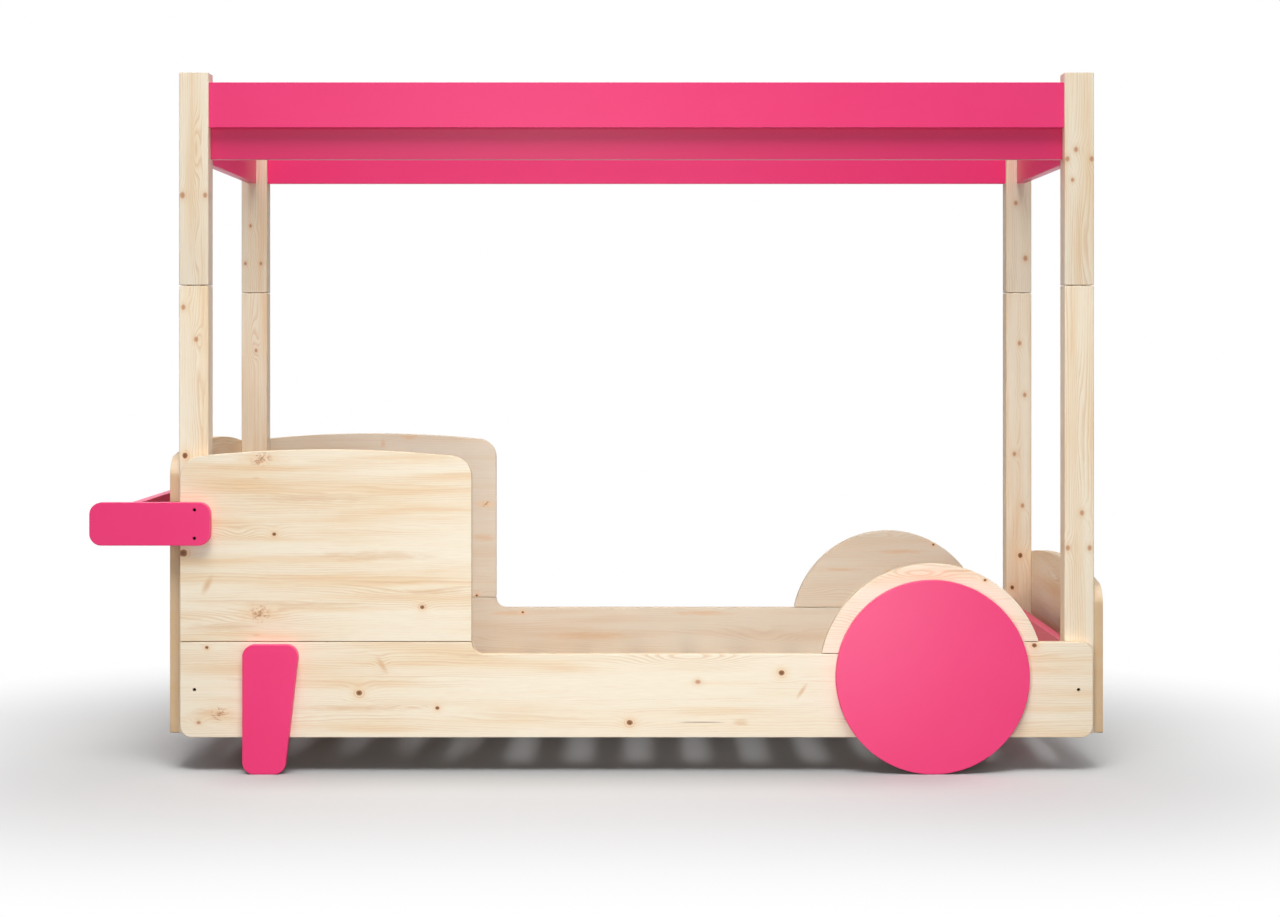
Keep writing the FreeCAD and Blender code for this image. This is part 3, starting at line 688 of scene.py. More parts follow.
def pine(name, look, grain, origin, along, across):
    """Clear-lacquered pine.

    The rings are lines of one ring number: the place across the board, bent by slow noise and lifted
    in a bell around every knot and arc, over the ring's width. Within a ring, the wood darkens
    slowly from early to late wood and drops back. Wide warm bands with ragged edges, fine fibres and
    short resin streaks lie along the grain. Knots, strokes, branches and cracks are functions of the
    distance from their own places.
    """
    finish = Finish(name)
    place = finish.place(origin, along, across)
    parts = finish.node("ShaderNodeSeparateXYZ", None, {0: place}).outputs
    noises = {}

    def soft(layer):
        """One of the noises above, made once."""
        if layer not in noises:
            sizes, detail, more = layer
            noises[layer] = finish.noise(place, sizes, detail, grain.seed + more)
        return noises[layer]

    line = Value(finish, parts[1]) + Value(finish, parts[2]) * RING_LEAN
    line = line + soft(DRIFT) * DRIFT_LIFT + soft(WAVER) * WAVER_LIFT
    bells = 0.0
    for *spot, lift in grain.arcs:
        bell = finish.distance(place, *spot).bell(1)
        line = line + bell * lift
        bells = bell + bells
    near = finish.nearest(place, [(a, c, r * KNOT_LENGTH, r) for a, c, r in grain.knots])
    near_red = finish.nearest(place, [(a, c, r * RED_KNOT_LENGTH, r) for a, c, r in grain.red_knots])
    for found in (near, near_red):
        if found is not None:
            line = line + found.bell(KNOT_LIFT_STEEPNESS) * KNOT_LIFT

    wide, ragged, patches, fibre = soft(WIDE_BANDS), soft(RAGGED_BANDS), soft(PATCHES), soft(FIBRES)
    ring = (line / look.ring_width + soft(RING_SLIP) * RINGS_SLIPPED).fraction()
    late = ring.ramp(0.3, 0.86) * ring.fade(0.88, 1.0)
    late = late * (0.4 + wide * 1.5 + patches * 1.6 + bells * 1.1).ramp(0.0, 1.0)
    band = (wide * 1.3 + ragged * 0.8 + grain.tone).ramp(-0.2, 0.3)
    tan = (wide * 0.7 + ragged * 1.2 + grain.tone).ramp(0.0, 0.44)
    streak = soft(STREAKS).ramp(0.14, 0.3)

    colour = finish.mix(band, look.pale, look.warm)
    colour = finish.mix(tan * SHOW["tan"], colour, look.tan)
    colour = finish.mix(late * look.ring_contrast, colour, look.late)
    colour = finish.mix(streak * SHOW["streak"], colour, look.late)
    colour = finish.mix((0.5 + fibre).ramp(0.25, 0.8) * SHOW["fibre"], colour, look.fibre)
    # Painted shade: the far side's boards take a share of greyer wood, standing in for their cooler light.
    colour = finish.mix(grain.far_side_painted_shade, colour, look.far_side_shade_grey)
    for spot in grain.smudges:
        away = finish.distance(place, *spot) + soft(SMUDGE_EDGE) * SMUDGE_RAG
        colour = finish.mix(away.fade(0.0, 1.3) * SHOW["smudge"], colour, look.late)
    for spot_along, spot_across, half, width, lean in grain.spikes:
        moved = finish.vector("SUBTRACT", place, (spot_along, spot_across, 0))
        turned = finish.node("ShaderNodeVectorRotate", {"rotation_type": "Z_AXIS"},
                             {"Vector": moved, "Angle": math.radians(-lean)}).outputs[0]
        away = finish.distance(turned, 0, 0, half, width)
        colour = finish.mix(away.fade(0.0, 1.2) * SHOW["spike"], colour, look.late)
    for spot_along, spot_across, reach_along, reach_across in grain.feathers:
        moved = finish.vector("SUBTRACT", place, (spot_along, spot_across, 0))
        spread = finish.node("ShaderNodeSeparateXYZ", None, {0: moved}).outputs
        turn = Value(finish, spread[1]).angle(spread[0]) * STROKES + soft(STROKE_BEND) * STROKE_WANDER
        stroke = turn.sine().ramp(0.1, 0.95)
        edge = soft(FEATHER_EDGE) * FEATHER_RAG
        away = finish.distance(place, spot_along, spot_across, reach_along, reach_across)
        halo = finish.distance(place, spot_along, spot_across,
                               reach_along * FEATHER_HALO_LENGTH, reach_across)
        colour = finish.mix((halo + edge).fade(0.1, 1.3) * SHOW["feather halo"], colour, look.tan)
        colour = finish.mix((away + edge).fade(0.2, 1.2) * stroke * SHOW["stroke"], colour, look.red)
        colour = finish.mix(away.bell(14) * SHOW["feather heart"], colour, look.knot_rim)
    for spot in grain.cracks:
        away = finish.distance(place, *spot)
        colour = finish.mix(away.fade(0.5, 1.1) * SHOW["crack"], colour, look.knot)
    if near_red is not None:
        colour = finish.mix(near_red.bell(0.3) * SHOW["red halo"], colour, look.late)
        colour = finish.mix(near_red.fade(0.5, 1.3) * SHOW["red knot"], colour, look.red)
    if near is not None:
        colour = finish.mix(near.bell(0.16) * SHOW["knot halo"], colour, look.tan)
        rough_edge = near + soft(KNOT_EDGE) * KNOT_RAG
        ring_round = (rough_edge - 1.75).absolute().fade(0.0, 0.4) * (0.5 + patches).ramp(0.3, 0.7)
        colour = finish.mix(ring_round * SHOW["ring round knot"], colour, look.late)
        colour = finish.mix(rough_edge.fade(0.85, 1.2), colour, look.knot_rim)
        colour = finish.mix(rough_edge.fade(0.35, 0.9), colour, look.knot)
    # The narrow faces take the end-grain colour; on the bore walls the same darkening is painted shade in the
    # hollows.
    if grain.edges:
        narrow_faces_and_bores = finish.facing(along.cross(across)).fade(0.1, 0.9)
        colour = finish.mix(narrow_faces_and_bores * grain.edges, colour, look.end_grain_and_bore_shade)
    if grain.ends is not None:
        first, last = grain.ends
        half = (last - first) / 2
        starts, full = END_BAND
        beyond = (Value(finish, parts[0]) - (first + half)).absolute().ramp(half - starts, half - full)
        colour = finish.mix(beyond * SHOW["end grain"], colour, look.end_grain_and_bore_shade)
    roughness = look.roughness - late * 0.08 + fibre * 0.1
    height = late * 0.6 + fibre * 0.5
    return finish.surface(colour, roughness, height, look.relief)


# The soft noises in the lacquer, given as the pine's are.
CLOUD = ((160, 160, 160), 3, 0)
SPECK = ((2.6, 2.6, 2.6), 2, 3)
PEBBLE = ((1.3, 1.3, 1.3), 1, 5)
LACQUER_SPECULAR = 0.46     # a little less mirror than the usual 0.5

# Sizes of the steel's patches and the beech's flecks in millimetres, and the height of their relief.
STEEL_CLOUD, STEEL_RELIEF = (3, 3, 3), 0.02 * MM
BEECH_FLECK, BEECH_RELIEF = (3, 0.5, 0.5), 0.05 * MM
BEECH_ROUGHNESS = 0.55


def lacquer(name, look, seed, depth):
    """Satin paint on board: one colour with a faint cloud in it, and the fine pebbling of a sprayed coat.

    The depth is the share of painted shade: a deeper pink laid over boards that lie in shade.
    """
    finish = Finish(name)
    place = finish.place()
    cloud, speck, pebble = (finish.noise(place, sizes, detail, seed + more)
                            for sizes, detail, more in (CLOUD, SPECK, PEBBLE))
    patches = (0.5 + cloud * 0.9 + speck * 0.5).ramp(0.0, 1.0)
    # Painted shade: the deeper pink, by its depth, stands in for the shade on boards that lie in it.
    colour = finish.mix(depth, finish.mix(patches, look.shade, look.colour), look.painted_shade_pink)
    roughness = look.roughness + speck * 0.14 + cloud * 0.06
    return finish.surface(colour, roughness, pebble + speck * 0.8, look.pebbling,
                          Specular_IOR_Level=LACQUER_SPECULAR)


def steel(name, bright, dull, roughness):
    """Finished steel: one tone with soft brighter and duller patches."""
    finish = Finish(name)
    cloud = finish.noise(finish.place(), STEEL_CLOUD, 3)
    colour = finish.mix((0.5 + cloud).ramp(0.2, 0.8), dull, bright)
    return finish.surface(colour, roughness + cloud * 0.25, cloud, STEEL_RELIEF, Metallic=1.0)


def beech(look):
    """Plain dowel wood with fine short flecks."""
    finish = Finish("Beech dowel")
    fleck = finish.noise(finish.place(), BEECH_FLECK, 2)
    colour = finish.mix((0.5 + fleck).ramp(0.2, 0.8), look.pale, look.fleck)
    return finish.surface(colour, BEECH_ROUGHNESS + fleck * 0.1, fleck, BEECH_RELIEF)


# ---------------------------------------------------------------- settings

def length(name, description, metres):
    """A length that the user can change."""
    return FloatProperty(name=name, description=description, default=metres, min=0, unit="LENGTH")


def colour(name, description, red, green, blue):
    """A colour that the user can change, given in display numbers of 0 to 255."""
    return FloatVectorProperty(name=name, description=description, subtype="COLOR", min=0, max=1,
                               default=paint(red, green, blue))


def share(name, description, value):
    """A share from 0 to 1 that the user can change."""
    return FloatProperty(name=name, description=description, default=value, min=0, max=1, subtype="FACTOR")


def strength(name, description, value, unit="NONE"):
    """A number from 0 up that the user can change."""
    return FloatProperty(name=name, description=description, default=value, min=0, unit=unit)


class CarBedSizes(bpy.types.PropertyGroup):
    """Sizes that the frame's boxes don't say."""

    easing: length("Easing", "Radius of the rounded edges of every board", 1.3 * MM)
    seam: length("Seam", "Open line between boards that stand on each other", 1.6 * MM)
    small_corner: length("Small corner", "Radius of a board's plain corners", 3.0 * MM)
    corner: length("Corner", "Radius of the corners of rails, legs and bumper plates", 28.0 * MM)
    crown_corner: length("Crown corner", "Radius of the upper corners of crowned boards", 50.0 * MM)
    bonnet_rise: length("Bonnet rise", "Height of the bonnet's crown above its shoulders", 20.0 * MM)
    end_rise: length("End panel rise", "Height of an end panel's crown above its shoulders", 30.0 * MM)
    sill_drop: length("Sill drop", "How far the entry sill lies below the rail's top", 27.5 * MM)
    leg_foot: length("Leg foot", "Width of a leg at the floor", 98.0 * MM)
    bolt_bore: length("Bolt bore", "Width of the bore over a bolt's head", 8.0 * MM)
    bolt_bore_depth: length("Bolt bore depth", "Depth of the bore over a bolt's head", 16.0 * MM)
    bolt_shank: length("Bolt shank bore", "Width of the bore round a bolt's shank", 6.0 * MM)
    screw_head: length("Screw head", "Width of a countersunk head", 8.0 * MM)
    screw: length("Screw", "Width of a screw's shank", 4.0 * MM)
    screw_head_height: length("Screw head height", "Depth of a countersunk head", 2.4 * MM)


class CarBedPine(bpy.types.PropertyGroup):
    """Colours and grain of the pine."""

    pale: colour("Pale", "Early wood of the palest bands", 254, 242, 220)
    warm: colour("Warm", "Early wood of the warmer bands", 249, 228, 196)
    tan: colour("Tan", "Ragged tan bands", 241, 204, 158)
    # Painted shade: greyer wood that stands in for the cooler light on the far side's boards.
    far_side_shade_grey: colour("Cool", "Greyer wood of the far boards", 207, 202, 195)
    late: colour("Late wood", "The darker line of each ring", 222, 178, 128)
    fibre: colour("Fibre", "Fine fibres", 208, 172, 130)
    # Also laid on the narrow faces, and on the bore walls as painted shade.
    end_grain_and_bore_shade: colour("End grain", "Cut ends of the fibres", 206, 172, 130)
    red: colour("Red", "Reddish knots and strokes", 188, 116, 64)
    knot: colour("Knot", "Heart of a dark knot", 116, 74, 42)
    knot_rim: colour("Knot rim", "Rim of a dark knot", 170, 112, 64)
    ring_width: FloatProperty(name="Ring width", description="Mean width in millimetres", default=6, min=0.1)
    ring_contrast: share("Ring contrast", "How strongly the late wood shows", 0.46)
    roughness: share("Roughness", "Mean roughness of the matt lacquer", 0.56)
    relief: length("Relief", "Height of the grain's relief", 0.05 * MM)


class CarBedLacquer(bpy.types.PropertyGroup):
    """Colour and gloss of the pink lacquer."""

    colour: colour("Colour", "Pink of the lacquer", 248, 59, 126)
    shade: colour("Shade", "Slightly deeper pink in its clouds", 245, 52, 119)
    # Painted shade: a deeper pink that stands in for the shade on boards that lie in it.
    painted_shade_pink: colour("Deep", "Pink of the boards that lie in shade", 214, 36, 96)
    roughness: share("Roughness", "Mean roughness", 0.36)
    pebbling: length("Pebbling", "Height of the sprayed coat's pebbling", 0.03 * MM)


class CarBedMetal(bpy.types.PropertyGroup):
    """Colours of the screws' and inserts' zinc plating and of the bolts' black finish."""

    bright: colour("Bright", "Bright patches of the plating", 205, 206, 208)
    dull: colour("Dull", "Dull patches of the plating", 160, 162, 166)
    black: colour("Black", "Ground of the bolts' black finish", 8, 8, 9)
    worn: colour("Worn", "Worn patches of the black finish", 20, 20, 22)
    roughness: share("Roughness", "Mean roughness", 0.38)


class CarBedDowel(bpy.types.PropertyGroup):
    """Colours of the beech dowels."""

    pale: colour("Pale", "Ground colour", 222, 186, 146)
    fleck: colour("Fleck", "Short darker flecks", 190, 146, 104)


class CarBedStage(bpy.types.PropertyGroup):
    """The floor and the light."""

    floor: colour("Floor", "Colour of the floor", 212, 212, 212)
    # Painted shadow: the deeper grey under the bed stands in for the bed's shadow.
    under: colour("Floor under bed", "Colour of the floor under the bed", 181, 181, 181)
    bounce: colour("Bounce", "Grey that the floor throws back on to the bed", 92, 92, 92)
    ambient: strength("Ambient", "Strength of the even light", 0.22)
    top: strength("Top", "Power of the broad spot high in front", 3950, "POWER")
    left: strength("Left", "Power of the spot high in front, left", 550, "POWER")
    right: strength("Right", "Power of the spot high in front, right", 750, "POWER")
    back: strength("Back", "Strength of the broad sun high behind", 0.15)
    front: strength("Front", "Power of the lamp above the camera", 11, "POWER")
    low: strength("Low", "Power of the low lamp in front of the rail", 20.5, "POWER")
    wheel: strength("Wheel", "Power of the low lamp in front of the wheel", 11, "POWER")


class CarBedSettings(bpy.types.PropertyGroup):
    """Everything that a user would change."""

    sizes: PointerProperty(type=CarBedSizes)
    pine: PointerProperty(type=CarBedPine)
    lacquer: PointerProperty(type=CarBedLacquer)
    metal: PointerProperty(type=CarBedMetal)
    dowel: PointerProperty(type=CarBedDowel)
    stage: PointerProperty(type=CarBedStage)


# ---------------------------------------------------------------- the boards' grain

# Places along a side board are measured from the middle between the front and the rear posts.
BAY_MIDDLE = (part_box("lower_post_front_left")[1].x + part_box("lower_post_rear_left")[0].x) / 2

# The right side's boards, and the posts below, take a share of painted shade: greyer wood for the far side's
# cooler light.
RAIL_GRAIN = {
    "left": Grain(
        1.0, tone=-0.04,
        knots=[(-646, 186, 6), (-464, 151, 4), (-1001, 292, 3.5), (-16, 117, 6), (338, 233, 6),
               (927, 297, 5)],
        red_knots=[(143, 212, 5), (-1020, 117, 4)],
        arcs=[(-528, 158, 60, 9, -14), (-593, 251, 16, 22, 8), (120, 266, 130, 22, 34),
              (560, 120, 45, 24, 20)],
        feathers=[(-973, 137, 22, 19), (555, 130, 18, 18)],
        smudges=[(-640, 151, 150, 9), (-870, 285, 60, 8), (-380, 273, 60, 5), (-1000, 140, 40, 9),
                 (243, 117, 20, 9)],
        spikes=[(-593, 251, 25, 8, -58), (385, 190, 24, 6, 55)],
        cracks=[(150, 118, 60, 1.1)],
    ),
    "right": Grain(
        21.0, tone=0.02, far_side_painted_shade=0.55,
        knots=[(-311, 264, 3), (610, 250, 5), (-720, 130, 6)],
        arcs=[(350, 186, 95, 26, 24), (-500, 200, 120, 22, -22)],
        smudges=[(-350, 262, 50, 7), (-120, 200, 120, 12), (180, 262, 90, 8)],
    ),
}
BONNET_GRAIN = {
    "left": Grain(
        2.0, tone=0.02,
        knots=[(-844, 556, 4), (-499, 386, 4.5), (-1056, 512, 8)],
        arcs=[(-930, 556, 40, 16, 16), (-520, 420, 130, 18, 16), (-880, 360, 90, 26, 14)],
        feathers=[(-875, 731, 26, 19), (-877, 370, 25, 22)],
        smudges=[(-886, 687, 12, 3), (-886, 321, 12, 3), (-790, 392, 160, 8), (-480, 422, 75, 9),
                 (-760, 640, 180, 12), (-620, 505, 150, 13), (-960, 340, 90, 10)],
        spikes=[(-1000, 438, 28, 10, 62)],
    ),
    "right": Grain(
        22.0, tone=0.02, far_side_painted_shade=0.5,
        knots=[(-437, 310, 3), (-902, 610, 5)],
        arcs=[(-620, 743, 60, 14, 14), (-760, 480, 160, 24, 22)],
        feathers=[(-412, 560, 14, 10)],
        smudges=[(-693, 726, 7, 12), (-622, 743, 26, 7), (-420, 470, 40, 12)],
    ),
}
ARCH_GRAIN = {
    "left": Grain(
        3.0, tone=-0.14,
        knots=[(812, 449, 3)],
        arcs=[(660, 462, 60, 12, 16), (540, 350, 40, 26, 14), (800, 340, 80, 20, -12)],
        smudges=[(760, 470, 60, 4)],
    ),
    "right": Grain(
        3.0, tone=0.04, far_side_painted_shade=0.5,
        knots=[(812, 449, 3), (690, 372, 4)],
        arcs=[(640, 470, 90, 14, 20), (560, 330, 70, 20, -14)],
        smudges=[(560, 380, 60, 5), (720, 430, 80, 7)],
    ),
}
PANEL_GRAIN = {
    "front": Grain(4.0, tone=0.04, knots=[(-210, 300, 6), (250, 560, 4), (120, 190, 7)],
                   arcs=[(-60, 430, 200, 26, 26)], feathers=[(300, 330, 18, 16)],
                   smudges=[(-100, 610, 120, 10), (200, 420, 90, 9)]),
    "rear": Grain(5.0, tone=0.04, knots=[(160, 200, 6), (-290, 330, 5)],
                  arcs=[(40, 380, 160, 24, 22)], feathers=[(-120, 170, 16, 14)],
                  smudges=[(-60, 300, 120, 9)]),
}
# Places along a post are heights above the floor, and places across it are measured from the post's middle.
POST_GRAIN = {
    ("lower", "front", "left"): Grain(6.0, tone=-0.02, knots=[(738, -20, 6)],
                                      red_knots=[(1085, -24, 5), (1010, 6, 5)], arcs=[(900, 4, 130, 14, 16)]),
    ("upper", "front", "left"): Grain(7.0, tone=-0.06, red_knots=[(1347, -26, 6), (1347, 27, 5)],
                                      arcs=[(1450, 2, 75, 13, 26), (1220, 4, 60, 12, 12)]),
    ("lower", "rear", "left"): Grain(8.0, tone=-0.05, red_knots=[(522, -27, 5), (522, 24, 5), (604, 6, 5)],
                                     arcs=[(780, -6, 150, 14, 16)]),
    ("upper", "rear", "left"): Grain(9.0, tone=-0.03, red_knots=[(1454, -8, 5), (1432, -28, 5), (1432, 29, 5),
                                                                (1383, -16, 4)],
                                     arcs=[(1250, 6, 100, 14, 14)]),
    ("lower", "front", "right"): Grain(10.0, tone=0.02, far_side_painted_shade=0.12, red_knots=[(980, 5, 4)],
                                       arcs=[(1010, -6, 50, 13, 16)]),
    ("upper", "front", "right"): Grain(11.0, tone=0.0, far_side_painted_shade=0.12,
                                       red_knots=[(1318, -10, 4), (1216, 18, 4), (1216, -24, 4)]),
    ("lower", "rear", "right"): Grain(12.0, tone=0.02, far_side_painted_shade=0.12, knots=[(425, 4, 6), (338, -18, 5)],
                                      red_knots=[(700, -12, 5), (860, 16, 5), (560, 10, 5), (1000, 2, 5)]),
    ("upper", "rear", "right"): Grain(13.0, tone=0.0, far_side_painted_shade=0.12, red_knots=[(1230, 18, 6), (1380, -8, 5)]),
}


def side_pine(name, node, look, grain):
    """Pine of a board that stands lengthways on a side: its grain runs along the bed."""
    grain.ends = [(corner.x - BAY_MIDDLE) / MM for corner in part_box(node)]
    return pine(name, look, grain, (BAY_MIDDLE, 0, 0), ALONG_BED, UPWARD), "pine"


def end_pine(name, node, look, grain):
    """Pine of a board that stands across the bed: its grain runs across the bed."""
    grain.ends = [corner.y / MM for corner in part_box(node)]
    return pine(name, look, grain, (0, 0, 0), ACROSS_BED, UPWARD), "pine"


# ---------------------------------------------------------------- operators

PINK_SEEDS = {"rear_wheel": 31, "front_leg": 32, "bumper_side": 33, "bumper_cross_board": 34, "end_rail": 35,
              "canopy_fascia": 36, "canopy_side_board": 37, "canopy_end_board": 38}
PAINTED_SHADE_SHARE = 0.8                # share of painted shade, a deeper pink, on boards that lie in shade
LEDGER_SEED, LEDGER_TONE = 40.0, 0.05
SLAT_SEED, SLAT_SEED_STEP = 50.0, 7
SLAT_DRAW = 100             # seed of the first slat's knots and tone
KNOTS_IN_SLAT = 2
SLAT_KNOTS = ((-400, 400), (-28, 28), (3, 7))   # limits of their places along and across and of their radii
SLAT_TONES = (-0.1, 0.12)


def pink(settings, group, depth=0.0):
    """The lacquer of one group of pieces, and its slot."""
    # The depth is the share of painted shade, a deeper pink.
    seed = PINK_SEEDS[group]
    return lacquer("Pink lacquer %d" % seed, settings.lacquer, seed, depth), "pink_lacquer"


def dress(node, material):
    """Gives a CAD node its finish."""
    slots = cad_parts[node].material_slots
    for slot in slots:
        slot.material = material
    if not slots:
        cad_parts[node].data.materials.append(material)


class CARBED_OT_side_rails(bpy.types.Operator):
    """Make the two side rails with their entry sills"""

    bl_idname = "carbed.side_rails"
    bl_label = "Side Rails"
    bl_options = {"REGISTER", "UNDO"}

    def execute(self, context):
        settings = context.scene.car_bed
        sizes = settings.sizes
        for name, node, plane, low, high in on_sides("side_rail_%s"):
            sill = high[1] - sizes.sill_drop
            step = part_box("bonnet_panel_" + name)[1].x
            wheel = sum(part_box("rear_wheel_" + name), Vector()).x / 2
            outline = rounded([
                (low[0], low[1], sizes.corner),
                (high[0], low[1], sizes.corner),
                (high[0], high[1], sizes.corner),
                (wheel, high[1], sizes.small_corner),
                (wheel, sill, sizes.small_corner),
                (step, sill, sizes.sill_drop - FLAT_RIM),
                (step, high[1], 0),
                (low[0], high[1], sizes.small_corner),
            ])
            wood = side_pine("Pine of the %s rail" % name, node, settings.pine, RAIL_GRAIN[name])
            fitted(node, "_board", outline, plane, wood, sizes,
                   [("rail_bolts", bolt_bore(sizes), False),
                    ("wheel_screws", screw_bore(sizes), True),
                    ("leg_screws", screw_bore(sizes), True)])
        return {"FINISHED"}


class CARBED_OT_bonnet_panels(bpy.types.Operator):
    """Make the two crowned bonnet panels"""

    bl_idname = "carbed.bonnet_panels"
    bl_label = "Bonnet Panels"
    bl_options = {"REGISTER", "UNDO"}

    def execute(self, context):
        settings = context.scene.car_bed
        sizes = settings.sizes
        for name, node, plane, low, high in on_sides("bonnet_panel_%s"):
            low = (low[0], low[1] + sizes.seam)
            outline = crowned(low, high, sizes.bonnet_rise, sizes.crown_corner, sizes.small_corner)
            wood = side_pine("Pine of the %s bonnet" % name, node, settings.pine, BONNET_GRAIN[name])
            fitted(node, "_board", outline, plane, wood, sizes)
        return {"FINISHED"}


class CARBED_OT_wheel_arches(bpy.types.Operator):
    """Make the two round-topped boards behind the rear wheels"""

    bl_idname = "carbed.wheel_arches"
    bl_label = "Wheel Arches"
    bl_options = {"REGISTER", "UNDO"}

    def execute(self, context):
        settings = context.scene.car_bed
        sizes = settings.sizes
        for name, node, plane, low, high in on_sides("wheel_arch_%s"):
            wheel_low, wheel_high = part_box("rear_wheel_" + name)
            centre = ((wheel_low.x + wheel_high.x) / 2, (wheel_low.z + wheel_high.z) / 2)
            radius = high[1] - centre[1]
            rail_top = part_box("side_rail_" + name)[1].z + sizes.seam
            sill = rail_top - sizes.sill_drop
            first = math.asin((rail_top - centre[1]) / radius)
            last = math.pi - math.asin((sill - centre[1]) / radius)
            top = arc(centre, radius, first, last)
            outline = rounded([
                (*top[0], sizes.small_corner),
                *[(a, b, 0) for a, b in top[1:-1]],
                (*top[-1], sizes.small_corner),
                (centre[0], sill, sizes.small_corner),
                (centre[0], rail_top, sizes.small_corner),
            ])
            wood = side_pine("Pine of the %s arch" % name, node, settings.pine, ARCH_GRAIN[name])
            fitted(node, "_board", outline, plane, wood, sizes, [("wheel_screws", screw_bore(sizes), True)])
        return {"FINISHED"}


class CARBED_OT_rear_wheels(bpy.types.Operator):
    """Make the two lacquered wheel discs"""

    bl_idname = "carbed.rear_wheels"
    bl_label = "Rear Wheels"
    bl_options = {"REGISTER", "UNDO"}

    def execute(self, context):
        settings = context.scene.car_bed
        for _, node, plane, low, high in on_sides("rear_wheel_%s"):
            centre = ((low[0] + high[0]) / 2, (low[1] + high[1]) / 2)
            rim = arc(centre, (high[0] - low[0]) / 2, 0, 2 * math.pi)[:-1]
            fitted(node, "_disc", rim, plane, pink(settings, "rear_wheel"), settings.sizes)
        return {"FINISHED"}


class CARBED_OT_front_legs(bpy.types.Operator):
    """Make the two tapered front legs"""

    bl_idname = "carbed.front_legs"
    bl_label = "Front Legs"
    bl_options = {"REGISTER", "UNDO"}

    def execute(self, context):
        settings = context.scene.car_bed
        sizes = settings.sizes
        for _, node, plane, low, high in on_sides("front_leg_%s"):
            outline = rounded([
                (low[0], low[1], sizes.corner),
                (low[0] + sizes.leg_foot, low[1], sizes.corner),
                (high[0], high[1], sizes.corner),
                (low[0], high[1], sizes.corner),
            ])
            fitted(node, "_board", outline, plane, pink(settings, "front_leg"), sizes)
        return {"FINISHED"}


class CARBED_OT_bumper(bpy.types.Operator):
    """Make the bumper's two side plates and its cross board"""

    bl_idname = "carbed.bumper"
    bl_label = "Bumper"
    bl_options = {"REGISTER", "UNDO"}

    def execute(self, context):
        settings = context.scene.car_bed
        sizes = settings.sizes
        for _, node, plane, low, high in on_sides("bumper_side_%s"):
            outline = squared(low, high, sizes.corner)
            fitted(node, "_plate", outline, plane, pink(settings, "bumper_side"), sizes,
                   [("bumper_bolts", bolt_bore(sizes), False)])
        node = "bumper_cross_board"
        plane, low, high = panel_plane(node, end=-1)
        outline = squared(low, high, sizes.small_corner)
        fitted(node, "_lacquered", outline, plane, pink(settings, "bumper_cross_board"), sizes)
        return {"FINISHED"}


class CARBED_OT_end_boards(bpy.types.Operator):
    """Make the crowned end panels and the end rails inside them"""

    bl_idname = "carbed.end_boards"
    bl_label = "End Boards"
    bl_options = {"REGISTER", "UNDO"}

    def execute(self, context):
        settings = context.scene.car_bed
        sizes = settings.sizes
        for end, name in ENDS:
            node = name + "_end_panel"
            plane, low, high = panel_plane(node, end=end)
            outline = crowned(low, high, sizes.end_rise, sizes.crown_corner, sizes.small_corner)
            wood = end_pine("Pine of the %s panel" % name, node, settings.pine, PANEL_GRAIN[name])
            fitted(node, "_board", outline, plane, wood, sizes,
                   [("end_panel_bolts", bolt_bore(sizes), False)])
            node = name + "_end_rail"
            plane, low, high = panel_plane(node, end=end)
            outline = squared(low, high, sizes.small_corner)
            # Painted shade: the end rails get a share of deeper pink for the shade they lie in.
            fitted(node, "_board", outline, plane, pink(settings, "end_rail", PAINTED_SHADE_SHARE), sizes)
        return {"FINISHED"}


class CARBED_OT_posts(bpy.types.Operator):
    """Make the four posts, each in a lower and an upper length"""

    bl_idname = "carbed.posts"
    bl_label = "Posts"
    bl_options = {"REGISTER", "UNDO"}

    def execute(self, context):
        settings = context.scene.car_bed
        sizes = settings.sizes
        for _, end_name in ENDS:
            for _, side_name in SIDES:
                for part in ("lower", "upper"):
                    node = "_".join((part, "post", end_name, side_name))
                    low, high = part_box(node)
                    middle = (low + high) / 2
                    if part == "upper":
                        low.z += sizes.seam
                    plane = Plane((0, 0, low.z), ALONG_BED, ACROSS_BED, UPWARD)
                    grain = POST_GRAIN[part, end_name, side_name]
                    grain.ends = (low.z / MM, high.z / MM)
                    grain.edges = 0     # a post's four sides are all long faces
                    wood = pine("Pine of the %s %s %s post" % (part, end_name, side_name), settings.pine,
                                grain, (middle.x, middle.y, 0), UPWARD, ALONG_BED)
                    board(node + "_length", squared(low[:2], high[:2], sizes.small_corner), plane,
                          high.z - low.z, (wood, "pine"), [node], sizes)
        return {"FINISHED"}


class CARBED_OT_canopy(bpy.types.Operator):
    """Make the canopy's fascias, side boards and end boards"""

    bl_idname = "carbed.canopy"
    bl_label = "Canopy"
    bl_options = {"REGISTER", "UNDO"}

    def execute(self, context):
        settings = context.scene.car_bed
        sizes = settings.sizes
        for side, name in SIDES:
            for group in ("canopy_fascia", "canopy_side_board"):
                node = group + "_" + name
                plane, low, high = panel_plane(node, side=side)
                inner = group == "canopy_side_board"
                # Painted shade: the left side board, behind its fascia, gets a share of deeper pink for the
                # fascia's shadow.
                coat = pink(settings, group, PAINTED_SHADE_SHARE if inner and name == "left" else 0.0)
                fitted(node, "_lacquered", squared(low, high, sizes.small_corner), plane, coat, sizes,
                       [("fascia_screws", screw_bore(sizes), True)] if inner else [])
        for end, name in ENDS:
            node = "canopy_end_board_" + name
            plane, low, high = panel_plane(node, end=end)
            outline = squared(low, high, sizes.small_corner)
            fitted(node, "_lacquered", outline, plane, pink(settings, "canopy_end_board"), sizes)
        return {"FINISHED"}


